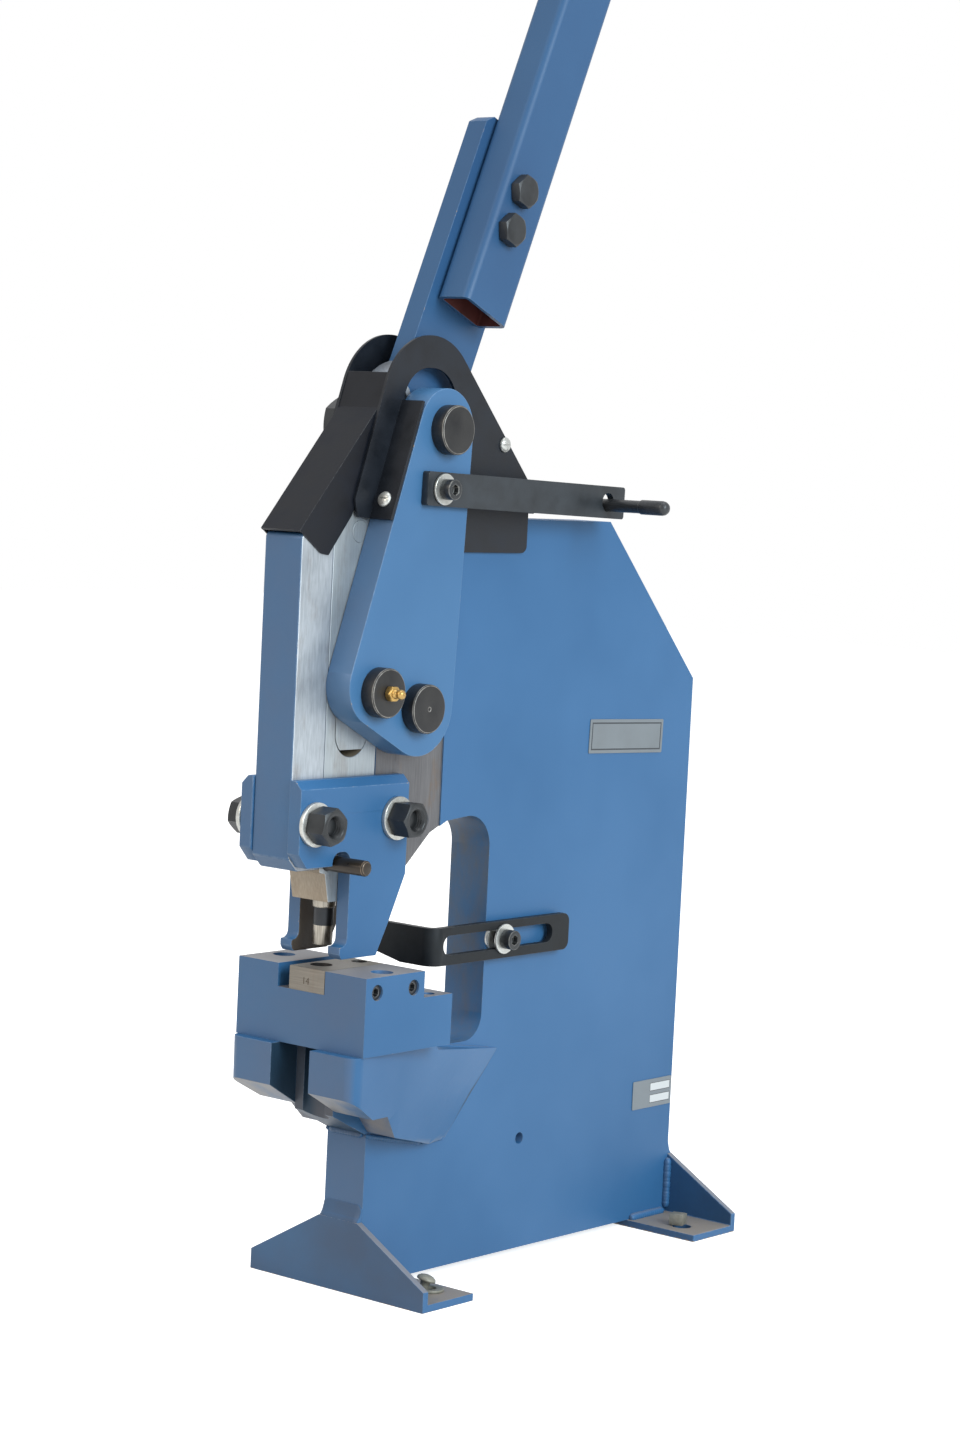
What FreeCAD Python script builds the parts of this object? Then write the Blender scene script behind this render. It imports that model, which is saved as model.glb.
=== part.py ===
import FreeCAD, Part
import math
import os
import Sketcher

# Lever hole punch. Millimetres, +Z up, +Y to the rear, +X to the side that carries the lever tube.
# Origin: centre of the four foot holes, on the underside of the feet.
# Every piece is drawn from the column's front face (its Y = 0) and moved back by half the frame's depth.

Vector = FreeCAD.Vector
doc = FreeCAD.newDocument("LeverHolePunch")
sheet = doc.addObject("Spreadsheet::Sheet", "Sizes")
nodes = []


class Size(float):
    """A number that remembers the sheet expression it stands for."""

    def __new__(cls, value, formula):
        made = float.__new__(cls, value)
        made.formula = formula
        return made

    def __add__(self, other):
        return Size(float(self) + float(other), f"({text(self)} + {text(other)})")

    def __radd__(self, other):
        return Size(float(other) + float(self), f"({text(other)} + {text(self)})")

    def __sub__(self, other):
        return Size(float(self) - float(other), f"({text(self)} - {text(other)})")

    def __rsub__(self, other):
        return Size(float(other) - float(self), f"({text(other)} - {text(self)})")

    def __mul__(self, other):
        return Size(float(self) * float(other), f"({text(self)} * {text(other)})")

    def __rmul__(self, other):
        return Size(float(other) * float(self), f"({text(other)} * {text(self)})")

    def __truediv__(self, other):
        return Size(float(self) / float(other), f"({text(self)} / {text(other)})")

    def __neg__(self):
        return Size(-float(self), f"(0 - {text(self)})")


def text(value):
    """The expression of a size, or the plain number."""
    return value.formula if isinstance(value, Size) else f"({float(value)!r})"


def size(name, value):
    """Write one driving dimension into the sheet under its own alias."""
    row = len(nodes_in_sheet) + 1
    nodes_in_sheet.append(name)
    sheet.set(f"A{row}", name)
    sheet.set(f"B{row}", str(value))
    sheet.setAlias(f"B{row}", name)
    return Size(value, f"Sizes.{name}")


nodes_in_sheet = []


def bind(thing, path, value):
    """Set a property and tie it to the sheet."""
    thing.setExpression(path, text(value))


def place(thing, x, y, z):
    bind(thing, "Placement.Base.x", x)
    bind(thing, "Placement.Base.y", y)
    bind(thing, "Placement.Base.z", z)


def unit(ax, ay):
    length = math.hypot(ax, ay)
    return ax / length, ay / length


def pin_point(sketch, geometry, point, x, y):
    """Hold one sketch point at x, y measured from the sketch's origin."""
    for kind, value in (("DistanceX", x), ("DistanceY", y)):
        index = sketch.addConstraint(Sketcher.Constraint(kind, -1, 1, geometry, point, float(value)))
        sketch.setExpression(f"Constraints[{index}]", text(value))


def add_loop(sketch, corners):
    """A closed outline through (x, y) corners; a third number rounds that corner."""
    count = len(corners)
    spans = []
    for index, corner in enumerate(corners):
        x, y = float(corner[0]), float(corner[1])
        if len(corner) == 2:
            spans.append(((x, y), (x, y), None))
            continue
        last, following = corners[index - 1], corners[(index + 1) % count]
        ax, ay = unit(float(last[0]) - x, float(last[1]) - y)
        bx, by = unit(float(following[0]) - x, float(following[1]) - y)
        half = math.acos(max(-1.0, min(1.0, ax * bx + ay * by))) / 2
        reach = float(corner[2]) / math.tan(half)
        mx, my = unit(ax + bx, ay + by)
        centre = (x + mx * float(corner[2]) / math.sin(half), y + my * float(corner[2]) / math.sin(half))
        start = (x + ax * reach, y + ay * reach)
        end = (x + bx * reach, y + by * reach)
        spans.append((start, end, centre))
    lines = []
    for index in range(count):
        start = spans[index][1]
        end = spans[(index + 1) % count][0]
        line = Part.LineSegment(Vector(start[0], start[1], 0), Vector(end[0], end[1], 0))
        lines.append(sketch.addGeometry(line, False))
    for index, corner in enumerate(corners):
        start, end, centre = spans[index]
        before, after = lines[index - 1], lines[index]
        if centre is None:
            sketch.addConstraint(Sketcher.Constraint("Coincident", before, 2, after, 1))
            pin_point(sketch, after, 1, corner[0], corner[1])
            continue
        radius = float(corner[2])
        first = math.atan2(start[1] - centre[1], start[0] - centre[0])
        final = math.atan2(end[1] - centre[1], end[0] - centre[0])
        turn = (final - first) % (2 * math.pi)
        circle = Part.Circle(Vector(centre[0], centre[1], 0), Vector(0, 0, 1), radius)
        if turn <= math.pi:
            arc = sketch.addGeometry(Part.ArcOfCircle(circle, first, first + turn), False)
            sketch.addConstraint(Sketcher.Constraint("Tangent", before, 2, arc, 1))
            sketch.addConstraint(Sketcher.Constraint("Tangent", arc, 2, after, 1))
        else:
            arc = sketch.addGeometry(Part.ArcOfCircle(circle, final, final + 2 * math.pi - turn), False)
            sketch.addConstraint(Sketcher.Constraint("Tangent", before, 2, arc, 2))
            sketch.addConstraint(Sketcher.Constraint("Tangent", arc, 1, after, 1))
        index_r = sketch.addConstraint(Sketcher.Constraint("Radius", arc, radius))
        sketch.setExpression(f"Constraints[{index_r}]", text(corner[2]))
        mark = sketch.addGeometry(Part.Point(Vector(float(corner[0]), float(corner[1]), 0)), True)
        pin_point(sketch, mark, 1, corner[0], corner[1])
        sketch.addConstraint(Sketcher.Constraint("PointOnObject", mark, 1, before))
        sketch.addConstraint(Sketcher.Constraint("PointOnObject", mark, 1, after))


def add_circle(sketch, x, y, radius):
    circle = Part.Circle(Vector(float(x), float(y), 0), Vector(0, 0, 1), float(radius))
    index = sketch.addGeometry(circle, False)
    pin_point(sketch, index, 3, x, y)
    held = sketch.addConstraint(Sketcher.Constraint("Radius", index, float(radius)))
    sketch.setExpression(f"Constraints[{held}]", text(radius))


def add_hull(sketch, circles):
    """The belt around round ends given counter-clockwise as (x, y, radius)."""
    count = len(circles)
    touch = []
    for index in range(count):
        x0, y0, r0 = (float(v) for v in circles[index])
        x1, y1, r1 = (float(v) for v in circles[(index + 1) % count])
        angle = math.atan2(y1 - y0, x1 - x0) - math.pi / 2
        lean = math.asin((r0 - r1) / math.hypot(x1 - x0, y1 - y0))
        nx, ny = math.cos(angle + lean), math.sin(angle + lean)
        touch.append(((x0 + nx * r0, y0 + ny * r0), (x1 + nx * r1, y1 + ny * r1)))
    lines = []
    for start, end in touch:
        line = Part.LineSegment(Vector(start[0], start[1], 0), Vector(end[0], end[1], 0))
        lines.append(sketch.addGeometry(line, False))
    for index in range(count):
        x, y, radius = circles[index]
        start, end = touch[index - 1][1], touch[index][0]
        first = math.atan2(start[1] - float(y), start[0] - float(x))
        turn = (math.atan2(end[1] - float(y), end[0] - float(x)) - first) % (2 * math.pi)
        circle = Part.Circle(Vector(float(x), float(y), 0), Vector(0, 0, 1), float(radius))
        arc = sketch.addGeometry(Part.ArcOfCircle(circle, first, first + turn), False)
        sketch.addConstraint(Sketcher.Constraint("Tangent", lines[index - 1], 2, arc, 1))
        sketch.addConstraint(Sketcher.Constraint("Tangent", arc, 2, lines[index], 1))
        pin_point(sketch, arc, 3, x, y)
        held = sketch.addConstraint(Sketcher.Constraint("Radius", arc, float(radius)))
        sketch.setExpression(f"Constraints[{held}]", text(radius))


def sketch_on(body, plane, level):
    """An empty sketch parallel to one of the body's own planes."""
    sketch = body.newObject("Sketcher::SketchObject", body.Name + "_outline")
    plane_object = [item for item in body.Origin.OriginFeatures if item.Role == plane][0]
    sketch.AttachmentSupport = [(plane_object, "")]
    sketch.MapMode = "FlatFace"
    bind(sketch, "AttachmentOffset.Base.z", level)
    return sketch


def feature(body, kind, plane, low, high, loops=(), circles=(), hull=None):
    """Pad or pocket between two levels along the plane's axis. XZ_Plane looks along -Y."""
    level = -high if plane == "XZ_Plane" else low
    sketch = sketch_on(body, plane, level)
    for corners in loops:
        add_loop(sketch, corners)
    for circle in circles:
        add_circle(sketch, *circle)
    if hull:
        add_hull(sketch, hull)
    made = body.newObject("PartDesign::" + kind, body.Name + "_" + kind.lower())
    made.Profile = sketch
    bind(made, "Length", high - low)
    made.Reversed = kind == "Pocket"
    return made


def new_body(name):
    body = doc.addObject("PartDesign::Body", name)
    body.Label = name
    place(body, 0, column_front, 0)
    nodes.append(body)
    return body


def root(value):
    """A square root that keeps its sheet expression."""
    return Size(math.sqrt(float(value)), f"sqrt({text(value)})")


def rod(x_low, x_high, y, z, radius):
    """A cylinder along X, from the column's front face."""
    made = doc.addObject("Part::Cylinder", "rod")
    bind(made, "Radius", radius)
    bind(made, "Height", x_high - x_low)
    made.Placement = FreeCAD.Placement(Vector(0, 0, 0), FreeCAD.Rotation(Vector(0, 1, 0), 90))
    place(made, x_low, y, z)
    return made


def upright(x, y, z_low, z_high, radius):
    """A cylinder along Z."""
    made = doc.addObject("Part::Cylinder", "upright")
    bind(made, "Radius", radius)
    bind(made, "Height", z_high - z_low)
    place(made, x, y, z_low)
    return made


def hexagon(x_low, x_high, y, z, flats):
    """A hexagonal prism along X, measured across its flats."""
    made = doc.addObject("Part::Prism", "hexagon")
    made.Polygon = 6
    bind(made, "Circumradius", flats / 2 * (1 / math.cos(math.pi / 6)))
    bind(made, "Height", x_high - x_low)
    made.Placement = FreeCAD.Placement(Vector(0, 0, 0), FreeCAD.Rotation(Vector(0, 1, 0), 90))
    place(made, x_low, y, z)
    return made


def joined(*shapes):
    made = doc.addObject("Part::MultiFuse", "joined")
    made.Shapes = list(shapes)
    return made


def cut(base, tool):
    made = doc.addObject("Part::Cut", "cut")
    made.Base = base
    made.Tool = tool
    return made


def ring(low, high, y, z, outer, inner):
    """A washer or spacer along X."""
    return cut(rod(low, high, y, z, outer), rod(low - cut_past, high + cut_past, y, z, inner))


def group(name, *shapes):
    """A node of one or more separate solids, moved to its place behind the origin."""
    made = doc.addObject("Part::Compound", name)
    made.Label = name
    made.Links = list(shapes)
    place(made, 0, column_front, 0)
    nodes.append(made)
    return made


# Frame: one thick plate, 330 mm deep and 500 mm high, with the throat cut into its front.
plate_thickness = size("plate_thickness", 33)
plate_depth = size("plate_depth", 331)
plate_top = size("plate_top", 500)
foot_thickness = size("foot_thickness", 5)
recess_depth = size("recess_depth", 1)
recess_rear = size("recess_rear", 59)
recess_bottom = size("recess_bottom", 250)
arm_front = size("arm_front", -6)
arm_bottom = size("arm_bottom", 262)
throat_rear = size("throat_rear", 111)
throat_top = size("throat_top", 307)
throat_floor = size("throat_floor", 154.5)
throat_top_round = size("throat_top_round", 22)
throat_floor_round = size("throat_floor_round", 17)
jaw_top = size("jaw_top", 165)
tongue_front = size("tongue_front", -32.6)
tongue_bottom = size("tongue_bottom", 120)
tongue_undercut = size("tongue_undercut", 16)
arm_nose = size("arm_nose", 16)
arm_rise_depth = size("arm_rise_depth", 35)
arm_rise_height = size("arm_rise_height", 15)
curve_low_depth = size("curve_low_depth", 61)
curve_low_drop = size("curve_low_drop", 11)
curve_high_depth = size("curve_high_depth", 45)
curve_high_drop = size("curve_high_drop", 4)
throat_lip_rear = size("throat_lip_rear", 48)
throat_lip_front = size("throat_lip_front", 38)
side_hole_y = size("side_hole_y", 158)
side_hole_z = size("side_hole_z", 81)
side_hole_radius = size("side_hole_radius", 4)
rear_chamfer_height = size("rear_chamfer_height", 109.5)
rear_chamfer_depth = size("rear_chamfer_depth", 106)
shaft_gap = size("shaft_gap", 0.05)
bolt_gap = size("bolt_gap", 0.5)
side_gap = size("side_gap", 0.3)
cut_past = 1

column_front = plate_depth * -0.5
half = plate_thickness / 2
machined = half - recess_depth

rear_pin_y = size("rear_pin_y", 9)
rear_pin_z = size("rear_pin_z", 380)
front_pin_y = size("front_pin_y", -30)
front_pin_z = size("front_pin_z", 391)
pivot_y = size("pivot_y", 25)
pivot_z = size("pivot_z", 556)
pin_radius = size("pin_radius", 12)
pivot_pin_radius = size("pivot_pin_radius", 12)
stripper_bolt_radius = size("stripper_bolt_radius", 7)
stripper_bolt_z = size("stripper_bolt_z", 309.3)
stripper_bolt_front = size("stripper_bolt_front", -72)
stripper_bolt_rear = size("stripper_bolt_rear", 4.5)
gauge_screw_y = size("gauge_screw_y", 120.5)
gauge_screw_z = size("gauge_screw_z", 222)
m8_radius = size("m_eight_radius", 4)
punch_y = size("punch_y", -31.5)
slug_radius = size("slug_radius", 9.5)

frame = new_body("frame_plate")
feature(frame, "Pad", "YZ_Plane", -half, half, loops=[[
    (0, foot_thickness),
    (plate_depth, foot_thickness),
    (plate_depth, plate_top - rear_chamfer_height),
    (plate_depth - rear_chamfer_depth, plate_top),
    (arm_front, plate_top),
    (arm_front, arm_bottom),
    (arm_front + arm_nose, arm_bottom),
    (arm_front + arm_rise_depth, arm_bottom + arm_rise_height),
    (throat_rear - curve_low_depth, throat_top - curve_low_drop),
    (throat_rear - curve_high_depth, throat_top - curve_high_drop),
    (throat_rear, throat_top, throat_top_round),
    (throat_rear, throat_floor, throat_floor_round),
    (throat_lip_rear, throat_floor),
    (throat_lip_front, jaw_top),
    (tongue_front, jaw_top),
    (tongue_front, tongue_bottom),
    (0, tongue_bottom - tongue_undercut),
]], circles=[
    (side_hole_y, side_hole_z, side_hole_radius),
    (rear_pin_y, rear_pin_z, pin_radius + shaft_gap),
    (stripper_bolt_rear, stripper_bolt_z, stripper_bolt_radius + bolt_gap),
    (gauge_screw_y, gauge_screw_z, m8_radius + shaft_gap),
])
for low, high in ((machined, half + cut_past), (-half - cut_past, -machined)):
    feature(frame, "Pocket", "YZ_Plane", low, high, loops=[[
        (arm_front - cut_past, recess_bottom),
        (recess_rear, recess_bottom),
        (recess_rear, plate_top + cut_past),
        (arm_front - cut_past, plate_top + cut_past),
    ]])
feature(frame, "Pocket", "XY_Plane", tongue_bottom - tongue_undercut, jaw_top + cut_past, circles=[
    (0, punch_y, slug_radius)])

# Feet: two lengths of angle, each cut to a gable and welded across the ends of the frame.
foot_width = size("foot_width", 150)
foot_flange = size("foot_flange", 50)
foot_lip = size("foot_lip", 13.4)
foot_apex = size("foot_apex", 47)
foot_hole_span = size("foot_hole_span", 105)
foot_hole_inset = size("foot_hole_inset", 28.5)
foot_hole_radius = size("foot_hole_radius", 6.5)
foot_hole_rear = plate_depth - foot_hole_inset
foot_half = foot_width / 2
for name, leg_low, flange_low, hole_y in (
    ("foot_front", -foot_thickness, -foot_thickness, foot_hole_inset),
    ("foot_rear", plate_depth, plate_depth + foot_thickness - foot_flange, foot_hole_rear),
):
    foot = new_body(name)
    feature(foot, "Pad", "XY_Plane", Size(0, "0"), foot_thickness, loops=[[
        (-foot_half, flange_low),
        (foot_half, flange_low),
        (foot_half, flange_low + foot_flange),
        (-foot_half, flange_low + foot_flange),
    ]], circles=[
        (foot_hole_span / -2, hole_y, foot_hole_radius),
        (foot_hole_span / 2, hole_y, foot_hole_radius),
    ])
    feature(foot, "Pad", "XZ_Plane", leg_low, leg_low + foot_thickness, loops=[[
        (-foot_half, 0),
        (foot_half, 0),
        (foot_half, foot_lip),
        (half, foot_apex),
        (-half, foot_apex),
        (-foot_half, foot_lip),
    ]])

# Jaw sides: the two cheeks of the lower jaw, which taper back into the frame plate.
jaw_width = size("jaw_width", 110)
jaw_front = size("jaw_front", -57)
jaw_bottom = size("jaw_bottom", 92)
jaw_round = size("jaw_round", 8)
jaw_rear_low = size("jaw_rear_low", 79)
jaw_rear_high = size("jaw_rear_high", 147)
jaw_belly_rear = size("jaw_belly_rear", 55)
jaw_belly_y = size("jaw_belly_y", 1)
jaw_belly_rise = size("jaw_belly_rise", 14)
jaw_chin_rear = size("jaw_chin_rear", -12)
jaw_chin_front = size("jaw_chin_front", -31)
jaw_chin_rise = size("jaw_chin_rise", 30)
jaw_lip_rise = size("jaw_lip_rise", 46)
jaw_step_front = size("jaw_step_front", 40)
jaw_step_rear = size("jaw_step_rear", 46)
jaw_step_drop = size("jaw_step_drop", 8)
jaw_tail_drop = size("jaw_tail_drop", 21)
die_screw_x = size("die_screw_x", 42)
die_screw_y = size("die_screw_y", -21)
die_screw_bite = size("die_screw_bite", 22)
for side, name in ((1, "jaw_side_right"), (-1, "jaw_side_left")):
    jaw = new_body(name)
    outer = jaw_width / 2 * side
    inner = half * side
    sketches = []
    for level, rear in ((jaw_bottom, jaw_rear_low), (jaw_top, jaw_rear_high)):
        sketch = sketch_on(jaw, "XY_Plane", level)
        add_loop(sketch, [(inner, jaw_front), (outer, jaw_front, jaw_round), (inner, rear)])
        sketches.append(sketch)
    loft = jaw.newObject("PartDesign::AdditiveLoft", name + "_loft")
    loft.Profile = sketches[0]
    loft.Sections = [sketches[1]]
    loft.Ruled = True
    low = half - cut_past if side > 0 else -(jaw_width / 2) - cut_past
    high = jaw_width / 2 + cut_past if side > 0 else cut_past - half
    feature(jaw, "Pocket", "YZ_Plane", low, high, loops=[[
        (jaw_front - cut_past, jaw_bottom - cut_past),
        (jaw_belly_rear, jaw_bottom - cut_past),
        (jaw_belly_rear, jaw_bottom),
        (jaw_belly_y, jaw_bottom + jaw_belly_rise),
        (jaw_chin_rear, jaw_bottom + jaw_chin_rise),
        (jaw_chin_front, jaw_bottom + jaw_chin_rise + 1),
        (jaw_front, jaw_bottom + jaw_lip_rise),
        (jaw_front - cut_past, jaw_bottom + jaw_lip_rise),
    ]])
    feature(jaw, "Pocket", "YZ_Plane", low, high, loops=[[
        (jaw_rear_high + cut_past, jaw_top + cut_past),
        (jaw_step_front, jaw_top + cut_past),
        (jaw_step_front, jaw_top),
        (jaw_step_rear, jaw_top - jaw_step_drop),
        (jaw_rear_high + cut_past, jaw_top - jaw_tail_drop),
    ]])
    feature(jaw, "Pocket", "XY_Plane", jaw_top - die_screw_bite, jaw_top + cut_past, circles=[
        (die_screw_x * side, die_screw_y, m8_radius + shaft_gap)])

# Die block: a slotted block on the lower jaw that holds the die insert.
block_half = size("block_half", 54.6)
block_front = size("block_front", -49.7)
block_step = size("block_step", 6.1)
block_rear = size("block_rear", 34)
block_top = size("block_top", 215)
step_top = size("step_top", 198)
slot_half = size("slot_half", 20)
slot_floor = size("slot_floor", 200)
counterbore_radius = size("counterbore_radius", 7.25)
counterbore_depth = size("counterbore_depth", 22)
set_screw_radius = size("set_screw_radius", 5)
set_screw_z = size("set_screw_z", 205.3)
set_screw_front = size("set_screw_front", -38.9)
set_screw_rear = size("set_screw_rear", -4.2)
step_hole_x = size("step_hole_x", 46)
step_hole_y = size("step_hole_y", 20.5)
step_hole_radius = size("step_hole_radius", 4)
step_hole_depth = size("step_hole_depth", 20)
die_rear_y = size("die_rear_y", -1)
die_rear_x = size("die_rear_x", 5)
counterbore_floor = block_top - counterbore_depth

block = new_body("die_block")
feature(block, "Pad", "YZ_Plane", -block_half, block_half, loops=[[
    (block_front, jaw_top),
    (block_rear, jaw_top),
    (block_rear, step_top),
    (block_step, step_top),
    (block_step, block_top),
    (block_front, block_top),
]])
feature(block, "Pocket", "XZ_Plane", block_front - cut_past, block_step + cut_past, loops=[[
    (-slot_half, slot_floor),
    (slot_half, slot_floor),
    (slot_half, block_top + cut_past),
    (-slot_half, block_top + cut_past),
]])
screw_spots = [(die_screw_x * side, die_screw_y) for side in (1, -1)]
feature(block, "Pocket", "XY_Plane", counterbore_floor, block_top + cut_past, circles=[
    (x, y, counterbore_radius) for x, y in screw_spots])
feature(block, "Pocket", "XY_Plane", jaw_top - cut_past, counterbore_floor + cut_past, circles=[
    (x, y, m8_radius + shaft_gap) for x, y in screw_spots])
feature(block, "Pocket", "XY_Plane", step_top - step_hole_depth, step_top + cut_past, circles=[
    (step_hole_x * side, step_hole_y, step_hole_radius) for side in (1, -1)])
feature(block, "Pocket", "YZ_Plane", slot_half - cut_past, block_half + cut_past, circles=[
    (y, set_screw_z, set_screw_radius + shaft_gap) for y in (set_screw_front, set_screw_rear)])
feature(block, "Pocket", "XY_Plane", jaw_top - cut_past, slot_floor + cut_past, circles=[
    (0, punch_y, slug_radius)])

insert_half = size("insert_half", 15)
insert_shift = size("insert_shift", 4.6)
die_hole_radius = size("die_hole_radius", 7)
small_die_radius = size("small_die_radius", 5)
insert = new_body("die_insert")
feature(insert, "Pad", "XY_Plane", slot_floor, block_top, loops=[[
    (insert_shift - insert_half, block_front),
    (insert_shift + insert_half, block_front),
    (insert_shift + insert_half, block_step),
    (insert_shift - insert_half, block_step),
]], circles=[(0, punch_y, die_hole_radius), (die_rear_x, die_rear_y, small_die_radius)])

set_screw_length = size("set_screw_length", 33.5)
set_screw_flats = size("set_screw_flats", 5)
socket_depth = size("socket_depth", 4)
insert_side = insert_shift + insert_half
set_screws = []
for y in (set_screw_front, set_screw_rear):
    end = insert_side + set_screw_length
    screw = rod(insert_side, end, y, set_screw_z, set_screw_radius)
    socket = hexagon(end - socket_depth, end + cut_past, y, set_screw_z, set_screw_flats)
    set_screws.append(cut(screw, socket))
group("die_set_screws", *set_screws)

m8_head_radius = size("m_eight_head_radius", 6.5)
m8_head_height = size("m_eight_head_height", 8)
m8_key_flats = size("m_eight_key_flats", 6)
die_screw_tip = jaw_top - die_screw_bite + 2
die_bolts = []
for x, y in screw_spots:
    head_top = counterbore_floor + m8_head_height
    key = doc.addObject("Part::Prism", "key")
    key.Polygon = 6
    bind(key, "Circumradius", m8_key_flats / 2 * (1 / math.cos(math.pi / 6)))
    bind(key, "Height", socket_depth + cut_past)
    place(key, x, y, head_top - socket_depth)
    die_bolts.append(joined(
        upright(x, y, die_screw_tip, counterbore_floor + cut_past, m8_radius),
        cut(upright(x, y, counterbore_floor, head_top, m8_head_radius), key)))
group("die_block_bolts", *die_bolts)

# Front guide bar: the upright bar that closes the ram's channel at the front.
bar_front = size("bar_front", -83.5)
bar_rear = size("bar_rear", -54.3)
bar_bottom = size("bar_bottom", 279)
bar_top = size("bar_top", 488.5)
bar_bevel = size("bar_bevel", 8)
bar_round = size("bar_round", 4)
bar = new_body("front_guide_bar")
feature(bar, "Pad", "YZ_Plane", -machined, machined, loops=[[
    (bar_front + bar_bevel, bar_bottom),
    (bar_rear, bar_bottom),
    (bar_rear, bar_top),
    (bar_front, bar_top, bar_round),
    (bar_front, bar_bottom + bar_bevel),
]], circles=[(stripper_bolt_front, stripper_bolt_z, stripper_bolt_radius + bolt_gap)])

# Ram: the square bar that slides in the channel; its slot clears the front cheek pin.
ram_front = bar_rear + side_gap
ram_rear = arm_front - side_gap
ram_half = machined - side_gap
ram_bottom = size("ram_bottom", 292)
ram_shoulder = size("ram_shoulder", 474)
ram_top = size("ram_top", 502)
ram_slot_half = size("ram_slot_half", 15.1)
ram_slot_low = size("ram_slot_low", 348.6)
ram_slot_high = size("ram_slot_high", 440)
ram_eye_z = size("ram_eye_z", 490)
ram_wall_top = size("ram_wall_top", 503)
link_round = size("link_round", 12)
link_thickness = size("link_thickness", 4)
lever_half = size("lever_half", 7.5)
link_inner = lever_half + side_gap
link_outer = link_inner + link_thickness
ram_pin_radius = size("ram_pin_radius", 7)
ram = new_body("ram")
ram_slot_left = front_pin_y - ram_slot_half
ram_slot_right = front_pin_y + ram_slot_half
flat_left = 0.1
slot_round = ram_slot_half - flat_left
feature(ram, "Pad", "YZ_Plane", -ram_half, ram_half, loops=[
    [(ram_front, ram_bottom), (ram_rear, ram_bottom), (ram_rear, ram_shoulder), (ram_front, ram_shoulder)],
    [(ram_slot_left, ram_slot_low, slot_round), (ram_slot_right, ram_slot_low, slot_round),
     (ram_slot_right, ram_slot_high, slot_round), (ram_slot_left, ram_slot_high, slot_round)],
])
feature(ram, "Pad", "YZ_Plane", -lever_half, lever_half, loops=[[
    (front_pin_y - link_round, ram_shoulder - cut_past),
    (front_pin_y + link_round, ram_shoulder - cut_past),
    (front_pin_y + link_round, ram_top, link_round - flat_left),
    (front_pin_y - link_round, ram_top, link_round - flat_left),
]])
for low, high in ((link_outer + side_gap, ram_half), (-ram_half, -link_outer - side_gap)):
    feature(ram, "Pad", "YZ_Plane", low, high, loops=[[
        (ram_front, ram_shoulder - cut_past),
        (ram_rear, ram_shoulder - cut_past),
        (ram_rear, ram_wall_top),
        (ram_front, ram_wall_top),
    ]])
feature(ram, "Pocket", "YZ_Plane", -ram_half - cut_past, ram_half + cut_past, circles=[
    (front_pin_y, ram_eye_z, ram_pin_radius + shaft_gap)])

# Ram guide block: sits on the front cheek pin inside the ram's slot and keeps the ram square.
block_side_gap = size("guide_block_gap", 0.5)
block_end_gap = size("guide_block_end_gap", 4.5)
block_room = size("guide_block_room", 25)
guide_front = ram_slot_left + block_side_gap
guide_rear = ram_slot_right - block_side_gap
guide_low = ram_slot_low + block_side_gap
guide_high = ram_slot_high - block_room
guide_block = new_body("ram_guide_block")
feature(guide_block, "Pad", "YZ_Plane", -ram_half, ram_half, loops=[[
    (guide_front, guide_low, slot_round - block_side_gap),
    (guide_rear, guide_low, slot_round - block_side_gap),
    (guide_rear, guide_high, slot_round - block_side_gap),
    (guide_front, guide_high, slot_round - block_side_gap),
]], circles=[(front_pin_y, front_pin_z, pin_radius + shaft_gap)])
feature(guide_block, "Pocket", "YZ_Plane", -ram_half - cut_past, ram_half + cut_past, loops=[[
    (guide_front - cut_past, guide_low - cut_past),
    (guide_rear + cut_past, guide_low - cut_past),
    (guide_rear + cut_past, ram_slot_low + block_end_gap),
    (guide_front - cut_past, ram_slot_low + block_end_gap),
]])

# Punch holder under the ram, with the punch in its bore and a cross pin through it.
holder_bottom = size("holder_bottom", 257.5)
cross_pin_y = size("cross_pin_y", -46.5)
cross_pin_z = size("cross_pin_z", 282.7)
cross_pin_radius = size("cross_pin_radius", 5)
cross_pin_near = size("cross_pin_near", 48)
cross_pin_far = size("cross_pin_far", -18)
shank_radius = size("shank_radius", 6)
collar_radius = size("collar_radius", 6.5)
collar_bottom = size("collar_bottom", 252)
stem_radius = size("stem_radius", 5.5)
stem_bottom = size("stem_bottom", 240)
tip_radius = size("tip_radius", 5)
tip_bottom = size("tip_bottom", 228)
shank_length = size("shank_length", 18)
holder_neck_drop = size("holder_neck_drop", 6)
holder_neck_step = size("holder_neck_step", 5)
holder_front_taper = size("holder_front_taper", 9)
holder_rear_taper = size("holder_rear_taper", 11)
holder_rear_rise = size("holder_rear_rise", 18)
holder = new_body("punch_holder")
feature(holder, "Pad", "YZ_Plane", -ram_half, ram_half, loops=[[
    (ram_front, ram_bottom),
    (ram_front, cross_pin_z - holder_neck_drop),
    (ram_front + holder_neck_step, cross_pin_z - holder_neck_drop - 1),
    (ram_front + holder_front_taper, holder_bottom),
    (ram_rear - holder_rear_taper, holder_bottom),
    (ram_rear, holder_bottom + holder_rear_rise),
    (ram_rear, ram_bottom),
]], circles=[(cross_pin_y, cross_pin_z, cross_pin_radius + shaft_gap)])
feature(holder, "Pocket", "XY_Plane", holder_bottom - cut_past, holder_bottom + shank_length, circles=[
    (0, punch_y, shank_radius + shaft_gap)])
group("punch", joined(
    upright(0, punch_y, holder_bottom - cut_past, holder_bottom + shank_length, shank_radius),
    upright(0, punch_y, collar_bottom, holder_bottom, collar_radius),
    upright(0, punch_y, stem_bottom, collar_bottom, stem_radius),
    upright(0, punch_y, tip_bottom, stem_bottom, tip_radius)))
group("punch_cross_pin", rod(cross_pin_far, cross_pin_near, cross_pin_y, cross_pin_z, cross_pin_radius))

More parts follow.
